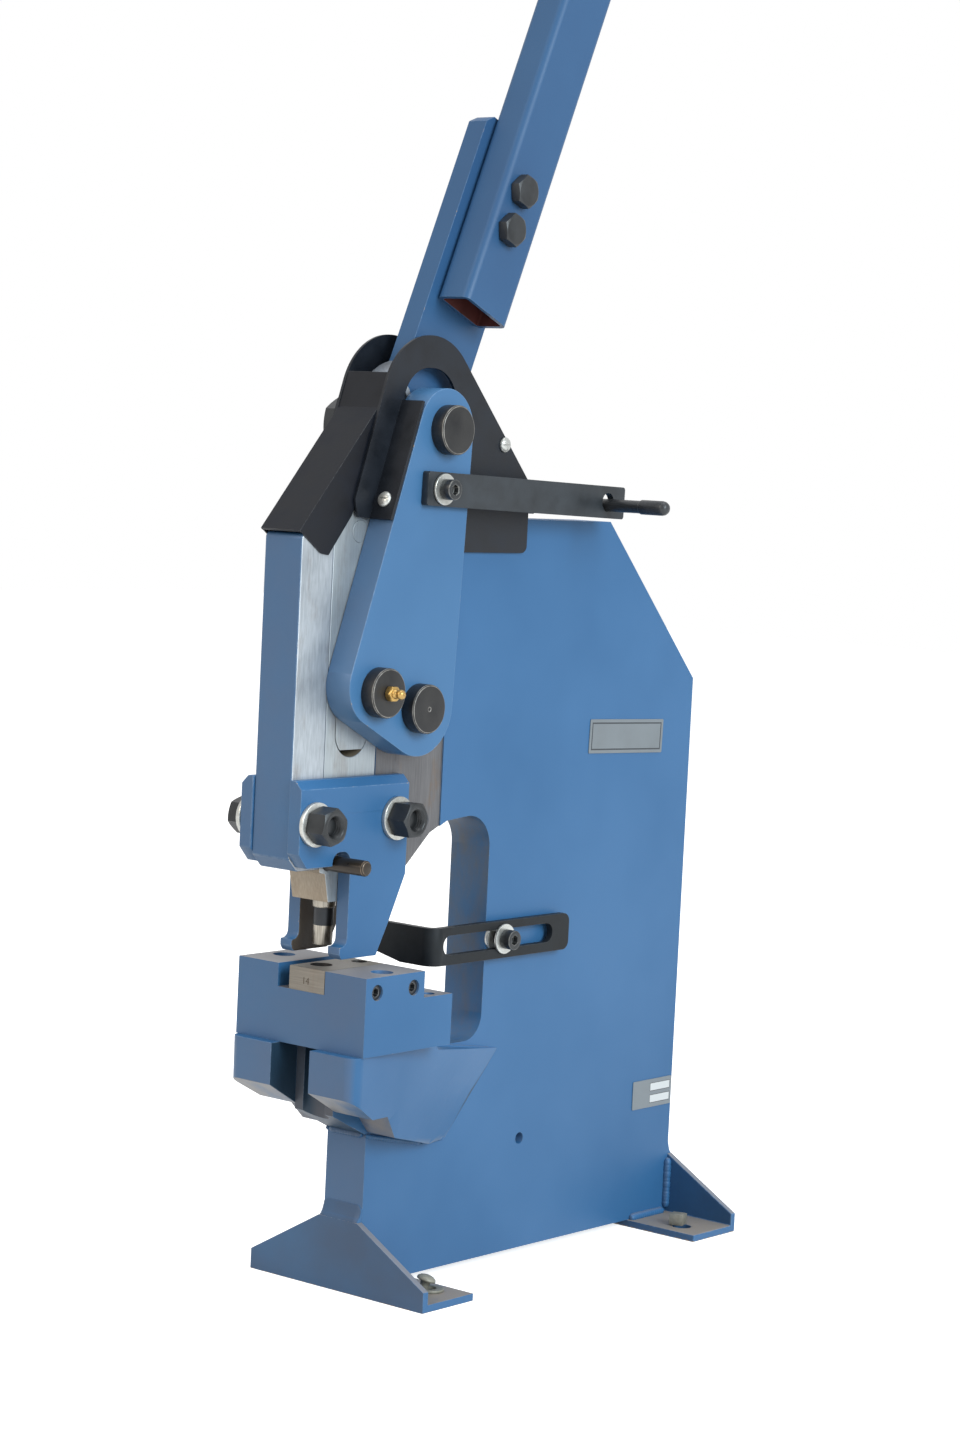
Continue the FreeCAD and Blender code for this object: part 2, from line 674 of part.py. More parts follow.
# Stripper plates: bolted each side of the guide bar and frame; their heels hold the work down.
stripper_thickness = size("stripper_thickness", 10)
stripper_front = size("stripper_front", -85)
stripper_rear = size("stripper_rear", 16.2)
stripper_top = size("stripper_top", 336.3)
stripper_bottom = size("stripper_bottom", 222.3)
stripper_drop = size("stripper_drop", 27.3)
stripper_bevel = size("stripper_bevel", 5.2)
stripper_foot_rear = size("stripper_foot_rear", -8.9)
stripper_knee_height = size("stripper_knee_height", 243.5)
stripper_knee_step = size("stripper_knee_step", 14)
stripper_hip_height = size("stripper_hip_height", 273)
stripper_slant_depth = size("stripper_slant_depth", 8)
stripper_slant_height = size("stripper_slant_height", 9)
notch_half = size("notch_half", 7)
notch_rear_half = size("notch_rear_half", 9.5)
notch_rise = size("notch_rise", 7.8)
notch_top = cross_pin_z + notch_rise
heel_front = size("heel_front", -43.5)
heel_top = size("heel_top", 230)
heel_round = size("heel_round", 5)
heel_lip = size("heel_lip", 4.5)
heel_toe = size("heel_toe", 2)
stripper_edge = stripper_bolt_z - stripper_drop
stripper_face = machined + stripper_thickness
for side, name in ((1, "stripper_plate_right"), (-1, "stripper_plate_left")):
    plate = new_body(name)
    low, high = (machined, stripper_face) if side > 0 else (-stripper_face, -machined)
    feature(plate, "Pad", "YZ_Plane", low, high, loops=[[
        (stripper_foot_rear, stripper_bottom),
        (stripper_rear - stripper_knee_step, stripper_knee_height),
        (stripper_rear, stripper_hip_height),
        (stripper_rear, stripper_top),
        (stripper_front, stripper_top),
        (stripper_front, stripper_edge + stripper_slant_height),
        (stripper_front + stripper_slant_depth, stripper_edge),
        (cross_pin_y - notch_half, stripper_edge),
        (cross_pin_y - notch_half, notch_top, notch_half - flat_left),
        (cross_pin_y + notch_rear_half, notch_top, notch_half - flat_left),
        (cross_pin_y + notch_rear_half, heel_top, heel_round),
        (heel_front, heel_top),
        (heel_front, heel_top - heel_lip),
        (heel_front + heel_toe, stripper_bottom),
    ]], circles=[
        (stripper_bolt_front, stripper_bolt_z, stripper_bolt_radius + bolt_gap),
        (stripper_bolt_rear, stripper_bolt_z, stripper_bolt_radius + bolt_gap),
    ])
    feature(plate, "Pocket", "XZ_Plane", stripper_front - cut_past, stripper_rear + cut_past, loops=[[
        ((stripper_face - stripper_bevel) * side, stripper_top),
        (stripper_face * side, stripper_top - stripper_bevel),
        ((stripper_face + cut_past) * side, stripper_top - stripper_bevel),
        ((stripper_face + cut_past) * side, stripper_top + cut_past),
        ((stripper_face - stripper_bevel) * side, stripper_top + cut_past),
    ]])

# Through bolts of the stripper plates, with a washer at each end and a nut on the near side.
washer_thickness = size("washer_thickness", 3)
washer_radius = size("washer_radius", 14)
nut_height = size("nut_height", 15)
bolt_head_height = size("bolt_head_height", 10)
big_flats = size("big_flats", 21)
bolt_end_recess = size("bolt_end_recess", 5)
washer_face = stripper_face + washer_thickness
bolts = []
washers = []
nuts = []
for y in (stripper_bolt_front, stripper_bolt_rear):
    bolts.append(joined(
        rod(-washer_face, washer_face + nut_height - bolt_end_recess, y, stripper_bolt_z,
            stripper_bolt_radius),
        hexagon(-washer_face - bolt_head_height, -washer_face, y, stripper_bolt_z, big_flats)))
    nuts.append(cut(
        hexagon(washer_face, washer_face + nut_height, y, stripper_bolt_z, big_flats),
        rod(washer_face - cut_past, washer_face + nut_height + cut_past, y, stripper_bolt_z,
            stripper_bolt_radius + shaft_gap)))
    for low in (stripper_face, -washer_face):
        washers.append(ring(low, low + washer_thickness, y, stripper_bolt_z, washer_radius,
                            stripper_bolt_radius + bolt_gap))
group("stripper_bolts", *bolts)
group("stripper_nuts", *nuts)
group("stripper_washers", *washers)

# Cheek plates: they carry the lever pivot above the frame and hang on two cross pins.
cheek_thickness = size("cheek_thickness", 20)
cheek_top_round = size("cheek_top_round", 26)
cheek_front_round = size("cheek_front_round", 25)
cheek_front_step = size("cheek_front_step", 1.3)
cheek_front_rise = size("cheek_front_rise", 3.7)
cheek_rear_round = size("cheek_rear_round", 32)
cheek_rear_step = size("cheek_rear_step", 2)
cheek_rear_rise = size("cheek_rear_rise", 1)
lock_pivot_y = size("lock_pivot_y", 18)
lock_pivot_z = size("lock_pivot_z", 518.5)
lock_thread_depth = size("lock_thread_depth", 15)
cheek_face = machined + cheek_thickness
cheek_front_y = front_pin_y - cheek_front_step
cheek_front_z = front_pin_z + cheek_front_rise
for side, name in ((1, "cheek_plate_right"), (-1, "cheek_plate_left")):
    cheek = new_body(name)
    low, high = (machined, cheek_face) if side > 0 else (-cheek_face, -machined)
    feature(cheek, "Pad", "YZ_Plane", low, high, hull=[
        (cheek_front_y, cheek_front_z, cheek_front_round),
        (rear_pin_y + cheek_rear_step, rear_pin_z + cheek_rear_rise, cheek_rear_round),
        (pivot_y, pivot_z, cheek_top_round),
    ])
    feature(cheek, "Pocket", "YZ_Plane", low - cut_past, high + cut_past, circles=[
        (front_pin_y, front_pin_z, pin_radius + shaft_gap),
        (rear_pin_y, rear_pin_z, pin_radius + shaft_gap),
        (pivot_y, pivot_z, pivot_pin_radius + shaft_gap),
    ])
    hole_low = high - lock_thread_depth if side > 0 else low - cut_past
    hole_high = high + cut_past if side > 0 else low + lock_thread_depth
    feature(cheek, "Pocket", "YZ_Plane", hole_low, hole_high, circles=[
        (lock_pivot_y, lock_pivot_z, m8_radius + shaft_gap)])

pin_head_radius = size("pin_head_radius", 15.7)
pin_head_height = size("pin_head_height", 10)
pin_thread_radius = size("pin_thread_radius", 12)
pin_nut_height = size("pin_nut_height", 19)
cheek_nut_height = size("cheek_nut_height", 13)
pin_nut_flats = size("pin_nut_flats", 36)
pin_thread_end = size("pin_thread_end", 2)
pin_nuts = []
for name, y, z, radius, nut_high in (
    ("lever_pivot_pin", pivot_y, pivot_z, pivot_pin_radius, pin_nut_height),
    ("front_cheek_pin", front_pin_y, front_pin_z, pin_radius, cheek_nut_height),
    ("rear_cheek_pin", rear_pin_y, rear_pin_z, pin_radius, cheek_nut_height),
):
    group(name, joined(
        rod(cut_past - cheek_face, cheek_face, y, z, radius),
        rod(-cheek_face - nut_high - pin_thread_end, cut_past * 2 - cheek_face, y, z,
            pin_thread_radius),
        rod(cheek_face, cheek_face + pin_head_height, y, z, pin_head_radius)))
    pin_nuts.append(cut(
        hexagon(-cheek_face - nut_high, -cheek_face, y, z, pin_nut_flats),
        rod(-cheek_face - nut_high - cut_past, cut_past - cheek_face, y, z,
            pin_thread_radius + shaft_gap)))
group("pin_nuts", *pin_nuts)

nipple_flats = size("nipple_flats", 9)
nipple_hex_height = size("nipple_hex_height", 5)
nipple_neck_length = size("nipple_neck_length", 7)
nipple_neck_radius = size("nipple_neck_radius", 2.7)
nipple_ball_length = size("nipple_ball_length", 4)
nipple_ball_radius = size("nipple_ball_radius", 3.4)
nipple_base = cheek_face + pin_head_height
nipple_neck = nipple_base + nipple_hex_height
nipple_ball = nipple_neck + nipple_neck_length
group("grease_nipple", joined(
    hexagon(nipple_base, nipple_neck, front_pin_y, front_pin_z, nipple_flats),
    rod(nipple_base, nipple_ball, front_pin_y, front_pin_z, nipple_neck_radius),
    rod(nipple_ball, nipple_ball + nipple_ball_length, front_pin_y, front_pin_z, nipple_ball_radius)))

# Lever: a plate with a round hub on the pivot pin, and a tube bolted to its side. Both lean back.
lever_lean = size("lever_lean", 23.1)
hub_radius = size("hub_radius", 43)
lever_front = size("lever_front", -25.4)
lever_rear = size("lever_rear", 34.6)
lever_length = size("lever_length", 213)
crank_radius = size("crank_radius", 27)
crank_angle = size("crank_angle", 40)
crank_pin_radius = size("crank_pin_radius", 6)
lever_bolt_low = size("lever_bolt_low", 140)
lever_bolt_high = size("lever_bolt_high", 167.5)
lever_bolt_y = size("lever_bolt_y", -2)
lever_bolt_radius = size("lever_bolt_radius", 6)
tube_width = size("tube_width", 26)
tube_depth = size("tube_depth", 45)
tube_front = size("tube_front", -18.6)
tube_start = size("tube_start", 84)
tube_length = size("tube_length", 1000)
tube_wall = size("tube_wall", 3)
tube_round = size("tube_round", 5)
lever_corner_front = size("lever_corner_front", 6)
lever_corner_rear = size("lever_corner_rear", 10)
lever_root = size("lever_root", -10)


def lean_back(thing):
    """Stand a lever piece on the pivot, leaning to the rear."""
    turn = FreeCAD.Rotation(Vector(1, 0, 0), -float(lever_lean))
    thing.Placement = FreeCAD.Placement(Vector(0, 0, 0), turn)
    place(thing, 0, column_front + pivot_y, pivot_z)
    bind(thing, "Placement.Rotation.Angle", -lever_lean)


def swing(radius, angle, trig):
    """One leg of a radius turned by an angle in degrees, both from the sheet."""
    factor = math.cos if trig == "cos" else math.sin
    value = float(radius) * factor(math.radians(float(angle)))
    return Size(value, f"({text(radius)} * {trig}({text(angle)} * 1 deg))")


crank_y = pivot_y - swing(crank_radius, crank_angle, "cos")
crank_z = pivot_z + swing(crank_radius, crank_angle, "sin")
crank_lean = crank_angle - lever_lean

lever = new_body("lever_plate")
lean_back(lever)
feature(lever, "Pad", "YZ_Plane", -lever_half, lever_half, circles=[(0, 0, hub_radius)])
feature(lever, "Pad", "YZ_Plane", -lever_half, lever_half, loops=[[
    (lever_front, lever_root),
    (lever_rear, lever_root),
    (lever_rear, lever_length - lever_corner_rear),
    (lever_rear - lever_corner_rear, lever_length),
    (lever_front + lever_corner_front, lever_length),
    (lever_front, lever_length - lever_corner_front),
]])
feature(lever, "Pocket", "YZ_Plane", -lever_half - cut_past, lever_half + cut_past, circles=[
    (0, 0, pivot_pin_radius + shaft_gap),
    (-swing(crank_radius, crank_lean, "cos"), swing(crank_radius, crank_lean, "sin"),
     crank_pin_radius + shaft_gap),
    (lever_bolt_y, lever_bolt_low, lever_bolt_radius + shaft_gap),
    (lever_bolt_y, lever_bolt_high, lever_bolt_radius + shaft_gap),
])

tube_inner = lever_half
tube_outer = tube_inner + tube_width
tube_rear = tube_front + tube_depth
inside_round = tube_round - tube_wall
tube = new_body("lever_tube")
lean_back(tube)
feature(tube, "Pad", "XY_Plane", tube_start, tube_start + tube_length, loops=[
    [(tube_inner, tube_front, tube_round), (tube_outer, tube_front, tube_round),
     (tube_outer, tube_rear, tube_round), (tube_inner, tube_rear, tube_round)],
    [(tube_inner + tube_wall, tube_front + tube_wall, inside_round),
     (tube_outer - tube_wall, tube_front + tube_wall, inside_round),
     (tube_outer - tube_wall, tube_rear - tube_wall, inside_round),
     (tube_inner + tube_wall, tube_rear - tube_wall, inside_round)],
])
feature(tube, "Pocket", "YZ_Plane", tube_inner - cut_past, tube_outer + cut_past, circles=[
    (lever_bolt_y, lever_bolt_low, lever_bolt_radius + shaft_gap),
    (lever_bolt_y, lever_bolt_high, lever_bolt_radius + shaft_gap),
])

cap_height = size("cap_height", 6)
cap_plug = size("cap_plug", 20)
cap = new_body("tube_end_cap")
lean_back(cap)
tube_end = tube_start + tube_length
plug_edge = tube_wall + shaft_gap
feature(cap, "Pad", "XY_Plane", tube_end, tube_end + cap_height, loops=[[
    (tube_inner, tube_front, tube_round), (tube_outer, tube_front, tube_round),
    (tube_outer, tube_rear, tube_round), (tube_inner, tube_rear, tube_round)]])
feature(cap, "Pad", "XY_Plane", tube_end - cap_plug, tube_end + cut_past, loops=[[
    (tube_inner + plug_edge, tube_front + plug_edge, inside_round),
    (tube_outer - plug_edge, tube_front + plug_edge, inside_round),
    (tube_outer - plug_edge, tube_rear - plug_edge, inside_round),
    (tube_inner + plug_edge, tube_rear - plug_edge, inside_round)]])

# Lever bolts: through the tube and the plate, heads outside the tube, nuts behind the plate.
small_flats = size("small_flats", 19)
small_head_height = size("small_head_height", 7.5)
small_nut_height = size("small_nut_height", 10)
bolt_end_proud = size("bolt_end_proud", 2)
lever_bolts = []
lever_nuts = []
for z in (lever_bolt_low, lever_bolt_high):
    lever_bolts.append(joined(
        rod(-lever_half - small_nut_height - bolt_end_proud, tube_outer + cut_past, lever_bolt_y, z,
            lever_bolt_radius),
        hexagon(tube_outer, tube_outer + small_head_height, lever_bolt_y, z, small_flats)))
    lever_nuts.append(cut(
        hexagon(-lever_half - small_nut_height, -lever_half, lever_bolt_y, z, small_flats),
        rod(-lever_half - small_nut_height - cut_past, cut_past - lever_half, lever_bolt_y, z,
            lever_bolt_radius + shaft_gap)))
lean_back(group("lever_bolts", *lever_bolts))
lean_back(group("lever_nuts", *lever_nuts))

# Drive links: two side links that hang from the crank pin in the lever's hub and push the ram.
link_slack = size("link_slack", 2)
for side, name in ((1, "drive_link_right"), (-1, "drive_link_left")):
    link = new_body(name)
    low, high = (link_inner, link_outer) if side > 0 else (-link_outer, -link_inner)
    feature(link, "Pad", "YZ_Plane", low, high, hull=[
        (front_pin_y, ram_eye_z, link_round), (crank_y, crank_z, link_round)])
    feature(link, "Pocket", "YZ_Plane", low - cut_past, high + cut_past, circles=[
        (front_pin_y, ram_eye_z, ram_pin_radius + shaft_gap),
        (crank_y, crank_z, crank_pin_radius + link_slack),
    ])
group("crank_pin", rod(-link_outer, link_outer, crank_y, crank_z, crank_pin_radius))
group("ram_pin", rod(-ram_half, ram_half, front_pin_y, ram_eye_z, ram_pin_radius))

# Side guards: bent sheet, an arch over each cheek plate with a lip along the cheek's front edge.
guard_thickness = size("guard_thickness", 2)
guard_rear = size("guard_rear", 132)
guard_bottom = size("guard_bottom", 478)
guard_knee = size("guard_knee", 524)
guard_peak_y = size("guard_peak_y", 8.3)
guard_peak_z = size("guard_peak_z", 655.5)
guard_arch = size("guard_arch", 44.5)
guard_window = size("guard_window", 24)
guard_window_front = size("guard_window_front", 3)
guard_window_rear = size("guard_window_rear", 54)
guard_window_top = size("guard_window_top", 594.6)
guard_lobe_y = size("guard_lobe_y", -40)
guard_lobe_z = size("guard_lobe_z", 510)
guard_rear_round = size("guard_rear_round", 5)
guard_knee_round = size("guard_knee_round", 8)
guard_lobe_round = size("guard_lobe_round", 5)
guard_toe_step = size("guard_toe_step", 3)
guard_toe_rise = size("guard_toe_rise", 1.5)
guard_toe_round = size("guard_toe_round", 2)
fold_gap = size("fold_gap", 1.4)
fold_low_z = size("fold_low_z", 498)
fold_drop = size("fold_drop", 22)
fold_high_z = guard_window_top - fold_drop
lip_proud = size("lip_proud", 0.5)
guard_screw_y = size("guard_screw_y", 103.5)
guard_screw_z = size("guard_screw_z", 548.5)
guard_screw_radius = size("guard_screw_radius", 2.5)
guard_outer = half + guard_thickness
cheek_run = (pivot_y - cheek_front_y) / (pivot_z - cheek_front_z)


def before_cheek(z):
    """Just in front of the cheek plates' front edge, at height z."""
    share = (pivot_z - z) / (pivot_z - cheek_front_z)
    reach = cheek_top_round + (cheek_front_round - cheek_top_round) * share
    return pivot_y - (pivot_z - z) * cheek_run - reach * root(cheek_run * cheek_run + 1) - fold_gap


fold_low_y = before_cheek(fold_low_z)
fold_high_y = before_cheek(fold_high_z)
lip_slope = (fold_high_y - fold_low_y) / (fold_high_z - fold_low_z)
lip_lift = guard_thickness * lip_slope
for side, name in ((1, "guard_side_right"), (-1, "guard_side_left")):
    guard = new_body(name)
    low, high = (half, guard_outer) if side > 0 else (-guard_outer, -half)
    feature(guard, "Pad", "YZ_Plane", low, high, loops=[[
        (guard_window_rear - guard_thickness, guard_bottom),
        (guard_rear, guard_bottom, guard_rear_round),
        (guard_rear, guard_knee, guard_knee_round),
        (guard_peak_y, guard_peak_z, guard_arch),
        (guard_lobe_y, guard_lobe_z, guard_lobe_round),
        (guard_lobe_y + guard_toe_step, fold_low_z + guard_toe_rise, guard_toe_round),
        (fold_low_y, fold_low_z),
        (fold_high_y, fold_high_z),
        (guard_window_front, guard_window_top, guard_window),
        (guard_window_rear, guard_window_top, guard_window),
    ]], circles=[(guard_screw_y, guard_screw_z, guard_screw_radius + shaft_gap)])
    lip_low = guard_outer - cut_past if side > 0 else -cheek_face - lip_proud
    lip_high = cheek_face + lip_proud if side > 0 else cut_past - guard_outer
    feature(guard, "Pad", "YZ_Plane", lip_low, lip_high, loops=[[
        (fold_low_y, fold_low_z),
        (fold_high_y, fold_high_z),
        (fold_high_y - guard_thickness, fold_high_z + lip_lift),
        (fold_low_y - guard_thickness, fold_low_z + lip_lift),
    ]])

guard_screw_head = size("guard_screw_head", 3)
guard_spacer_radius = size("guard_spacer_radius", 6)
guard_screw_head_radius = size("guard_screw_head_radius", 5)
guard_screw_bite = size("guard_screw_bite", 8)
group("guard_spacer", ring(-half, half, guard_screw_y, guard_screw_z, guard_spacer_radius,
                           guard_screw_radius + shaft_gap))
lip_screw_x = size("lip_screw_x", 27)
lip_screw_z = size("lip_screw_z", 510.7)
lip_screw_gap = size("lip_screw_gap", 0.05)
lip_screw_y = fold_low_y + (lip_screw_z - fold_low_z - lip_lift) * lip_slope - guard_thickness - lip_screw_gap
guard_screws = []
for side in (1, -1):
    low = guard_outer if side > 0 else -guard_outer - guard_screw_head
    shank_low = half - guard_screw_bite if side > 0 else -guard_outer - cut_past
    shank_high = guard_outer + cut_past if side > 0 else guard_screw_bite - half
    guard_screws.append(joined(
        rod(low, low + guard_screw_head, guard_screw_y, guard_screw_z, guard_screw_head_radius),
        rod(shank_low, shank_high, guard_screw_y, guard_screw_z, guard_screw_radius)))
    head = upright(0, 0, 0, guard_screw_head, guard_screw_head_radius)
    tilt = FreeCAD.Rotation(Vector(1, 0, 0), 90 - math.degrees(math.atan(float(lip_slope))))
    head.Placement = FreeCAD.Placement(Vector(0, 0, 0), tilt)
    place(head, lip_screw_x * side, lip_screw_y, lip_screw_z)
    guard_screws.append(head)
group("guard_screws", *guard_screws)

# Front guard: a sheet channel that covers the ram and crank; its sides grip the guide bar.
sheet_thickness = size("sheet_thickness", 1)
cover_front_y = size("cover_front_y", -87)
cover_front_z = size("cover_front_z", 490)
cover_knee_y = size("cover_knee_y", -20.5)
cover_knee_z = size("cover_knee_z", 567.5)
cover_top_y = size("cover_top_y", -13)
cover_top_z = size("cover_top_z", 590)
cover_web = sheet_thickness * 1.2
cover_toe_depth = size("cover_toe_depth", 20)
cover_toe_drop = size("cover_toe_drop", 14)
cover_heel_depth = size("cover_heel_depth", 27)
cover_heel_drop = size("cover_heel_drop", 15)
cover_side_low = size("cover_side_low", 2)
cover_side_step = size("cover_side_step", 8)
cover_side_rise = size("cover_side_rise", 26)
cover_side_width = size("cover_side_width", 6)
cover = new_body("guard_front")
feature(cover, "Pad", "YZ_Plane", -half, half, loops=[[
    (cover_front_y, cover_front_z),
    (cover_front_y + cover_web, cover_front_z - cover_web),
    (cover_knee_y + cover_web, cover_knee_z - cover_web),
    (cover_top_y + cover_web, cover_top_z),
    (cover_top_y, cover_top_z),
    (cover_knee_y, cover_knee_z),
]])
for low, high in ((machined, half), (-half, -machined)):
    feature(cover, "Pad", "YZ_Plane", low, high, loops=[[
        (cover_front_y, cover_front_z),
        (cover_front_y + cover_toe_depth, cover_front_z - cover_toe_drop),
        (cover_front_y + cover_heel_depth, cover_front_z - cover_heel_drop),
        (guard_lobe_y, fold_low_z + cover_side_low),
        (guard_lobe_y + cover_side_step, fold_low_z + cover_side_rise),
        (cover_knee_y + cover_side_width, cover_knee_z),
        (cover_top_y + cover_web, cover_top_z),
        (cover_top_y, cover_top_z),
        (cover_knee_y, cover_knee_z),
    ]])

# Lock bars: one on each cheek, joined at their free ends by a loose pin.
lock_thickness = size("lock_thickness", 5)
lock_height = size("lock_height", 21.5)
lock_tail = size("lock_tail", 15)
lock_reach = size("lock_reach", 189)
lock_tilt = size("lock_tilt", 1.6)
lock_hole_reach = size("lock_hole_reach", 171)
lock_hole_radius = size("lock_hole_radius", 6.25)
lock_pin_radius = size("lock_pin_radius", 4.25)
lock_pin_near = size("lock_pin_near", 91)
lock_pin_far = size("lock_pin_far", -60)
lock_grip_start = size("lock_grip_start", 69)
lock_grip_radius = size("lock_grip_radius", 4.9)
lock_corner = size("lock_corner", 2)
lock_inner = cheek_face + side_gap
lock_outer = lock_inner + lock_thickness


def tilt_down(thing):
    """Hang a lock piece on its pivot, dropping a little to the rear."""
    turn = FreeCAD.Rotation(Vector(1, 0, 0), -float(lock_tilt))
    thing.Placement = FreeCAD.Placement(Vector(0, 0, 0), turn)
    place(thing, 0, column_front + lock_pivot_y, lock_pivot_z)
    bind(thing, "Placement.Rotation.Angle", -lock_tilt)


for side, name in ((1, "lock_bar_right"), (-1, "lock_bar_left")):
    lock = new_body(name)
    tilt_down(lock)
    low, high = (lock_inner, lock_outer) if side > 0 else (-lock_outer, -lock_inner)
    feature(lock, "Pad", "YZ_Plane", low, high, loops=[[
        (-lock_tail, lock_height / -2, lock_corner),
        (lock_reach, lock_height / -2, lock_corner),
        (lock_reach, lock_height / 2, lock_corner),
        (-lock_tail, lock_height / 2, lock_corner),
    ]], circles=[
        (0, 0, m8_radius + shaft_gap * 2),
        (lock_hole_reach, 0, lock_hole_radius),
    ])
lock_pin_drop = lock_pin_radius + shaft_gap - lock_hole_radius
tilt_down(group("lock_pin", joined(
    rod(lock_pin_far, lock_grip_start + cut_past, lock_hole_reach, lock_pin_drop, lock_pin_radius),
    rod(lock_grip_start, lock_pin_near, lock_hole_reach, lock_pin_drop, lock_grip_radius))))

m8_washer_radius = size("m_eight_washer_radius", 10)
m8_washer_thickness = size("m_eight_washer_thickness", 1.6)
lock_washer_low = lock_outer + side_gap
lock_washer_high = lock_washer_low + m8_washer_thickness


def cap_screw(side, tip, seat, y, z):
    """A socket cap screw along X, its head standing on the seat."""
    x_low, x_high = (tip, seat + cut_past) if side > 0 else (-seat - cut_past, -tip)
    head_low = seat if side > 0 else -seat - m8_head_height
    head_high = head_low + m8_head_height
    key_low = head_high - socket_depth if side > 0 else head_low - cut_past
    key_high = head_high + cut_past if side > 0 else head_low + socket_depth
    head = cut(rod(head_low, head_high, y, z, m8_head_radius), hexagon(key_low, key_high, y, z, m8_key_flats))
    return joined(rod(x_low, x_high, y, z, m8_radius), head)


lock_tip = cheek_face - lock_thread_depth
group("lock_bar_screws", *[
    cap_screw(side, lock_tip, lock_washer_high, lock_pivot_y, lock_pivot_z) for side in (1, -1)])
group("lock_bar_washers", *[
    ring(*((lock_washer_low, lock_washer_high) if side > 0 else (-lock_washer_high, -lock_washer_low)),
         lock_pivot_y, lock_pivot_z, m8_washer_radius, m8_radius + shaft_gap) for side in (1, -1)])

# Back gauge: a slotted flat bar clamped to the frame and bent round behind the die.
gauge_inner = size("gauge_inner", 19.5)
gauge_thickness = size("gauge_thickness", 5)
gauge_front = size("gauge_front", 48)
gauge_rear = size("gauge_rear", 191)
gauge_low = size("gauge_low", 209)
gauge_high = size("gauge_high", 234)
gauge_bend = size("gauge_bend", 9)
gauge_slot_front = size("gauge_slot_front", 59)
gauge_slot_rear = size("gauge_slot_rear", 173)
gauge_slot_half = size("gauge_slot_half", 6.5)
gauge_leg_end = size("gauge_leg_end", -40)
gauge_leg_slant = size("gauge_leg_slant", 37)
gauge_leg_rise = size("gauge_leg_rise", 8)
gauge_round = size("gauge_round", 6)
gauge_slot_round = gauge_slot_half - flat_left
gauge_outer = gauge_inner + gauge_thickness
gauge_leg_rear = gauge_front + gauge_thickness
gauge_arm_front = gauge_front + gauge_bend
gauge = new_body("back_gauge")
feature(gauge, "Pad", "YZ_Plane", gauge_inner, gauge_outer, loops=[
    [(gauge_arm_front, gauge_low), (gauge_rear, gauge_low, gauge_round), (gauge_rear, gauge_high, gauge_round),
     (gauge_arm_front, gauge_high)],
    [(gauge_slot_front, gauge_screw_z - gauge_slot_half, gauge_slot_round),
     (gauge_slot_rear, gauge_screw_z - gauge_slot_half, gauge_slot_round),
     (gauge_slot_rear, gauge_screw_z + gauge_slot_half, gauge_slot_round),
     (gauge_slot_front, gauge_screw_z + gauge_slot_half, gauge_slot_round)],
])
feature(gauge, "Pad", "XY_Plane", gauge_low, gauge_high, loops=[[
    (gauge_leg_end, gauge_front),
    (gauge_outer, gauge_front, gauge_bend),
    (gauge_outer, gauge_arm_front + cut_past),
    (gauge_inner, gauge_arm_front + cut_past),
    (gauge_inner, gauge_leg_rear, gauge_bend - gauge_thickness),
    (gauge_leg_end, gauge_leg_rear),
]])
feature(gauge, "Pocket", "XZ_Plane", gauge_front - cut_past, gauge_leg_rear + cut_past, loops=[[
    (gauge_leg_end, gauge_low + gauge_leg_rise),
    (gauge_leg_end - cut_past, gauge_low + gauge_leg_rise),
    (gauge_leg_end - cut_past, gauge_low - cut_past),
    (gauge_leg_end + gauge_leg_slant, gauge_low - cut_past),
    (gauge_leg_end + gauge_leg_slant, gauge_low),
]])
gauge_washer_low = gauge_outer + side_gap
gauge_washer_high = gauge_washer_low + m8_washer_thickness
group("gauge_screw", cap_screw(1, -half, gauge_washer_high, gauge_screw_y, gauge_screw_z))
group("gauge_washer", ring(gauge_washer_low, gauge_washer_high, gauge_screw_y, gauge_screw_z,
                           m8_washer_radius, m8_radius + shaft_gap))
group("gauge_spacer", ring(half, gauge_inner - side_gap, gauge_screw_y, gauge_screw_z,
                           m8_washer_radius, m8_radius + shaft_gap))

# Plates: a bare name plate and a bare rating plate riveted flat on the frame's side.
plate_sheet = size("plate_sheet", 0.6)
plate_corner = size("plate_corner", 1)
name_plate_front = size("name_plate_front", 213)
name_plate_low = size("name_plate_low", 340)
name_plate_width = size("name_plate_width", 84)
name_plate_height = size("name_plate_height", 23.5)
rating_plate_front = size("rating_plate_front", 284.5)
rating_plate_low = size("rating_plate_low", 84)
rating_plate_width = size("rating_plate_width", 45.5)
rating_plate_height = size("rating_plate_height", 20.3)
for name, front, low, width, height in (
    ("name_plate", name_plate_front, name_plate_low, name_plate_width, name_plate_height),
    ("rating_plate", rating_plate_front, rating_plate_low, rating_plate_width, rating_plate_height),
):
    label = new_body(name)
    feature(label, "Pad", "YZ_Plane", half, half + plate_sheet, loops=[[
        (front, low, plate_corner),
        (front + width, low, plate_corner),
        (front + width, low + height, plate_corner),
        (front, low + height, plate_corner),
    ]])

doc.recompute()
faults = []
for item in doc.Objects:
    if "Invalid" in item.State or "Error" in item.State:
        faults.append(f"{item.Label}: {item.State}")
for node in nodes:
    if node.Shape.isNull() or not node.Shape.isValid() or not node.Shape.Solids:
        faults.append(f"{node.Label}: shape is null, not valid or holds no solid")
if faults:
    raise RuntimeError("; ".join(faults))

os.makedirs("parts", exist_ok=True)
for node in nodes:
    node.Shape.exportStep(f"parts/{node.Label}.step")
    box = node.Shape.BoundBox
    print(f"{node.Label}: {len(node.Shape.Solids)} solids, {node.Shape.Volume:.0f} mm3, "
          f"X {box.XMin:.1f}..{box.XMax:.1f} Y {box.YMin:.1f}..{box.YMax:.1f} "
          f"Z {box.ZMin:.1f}..{box.ZMax:.1f}")
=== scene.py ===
import bmesh
import bpy
import math
import random
from mathutils import Matrix, Vector


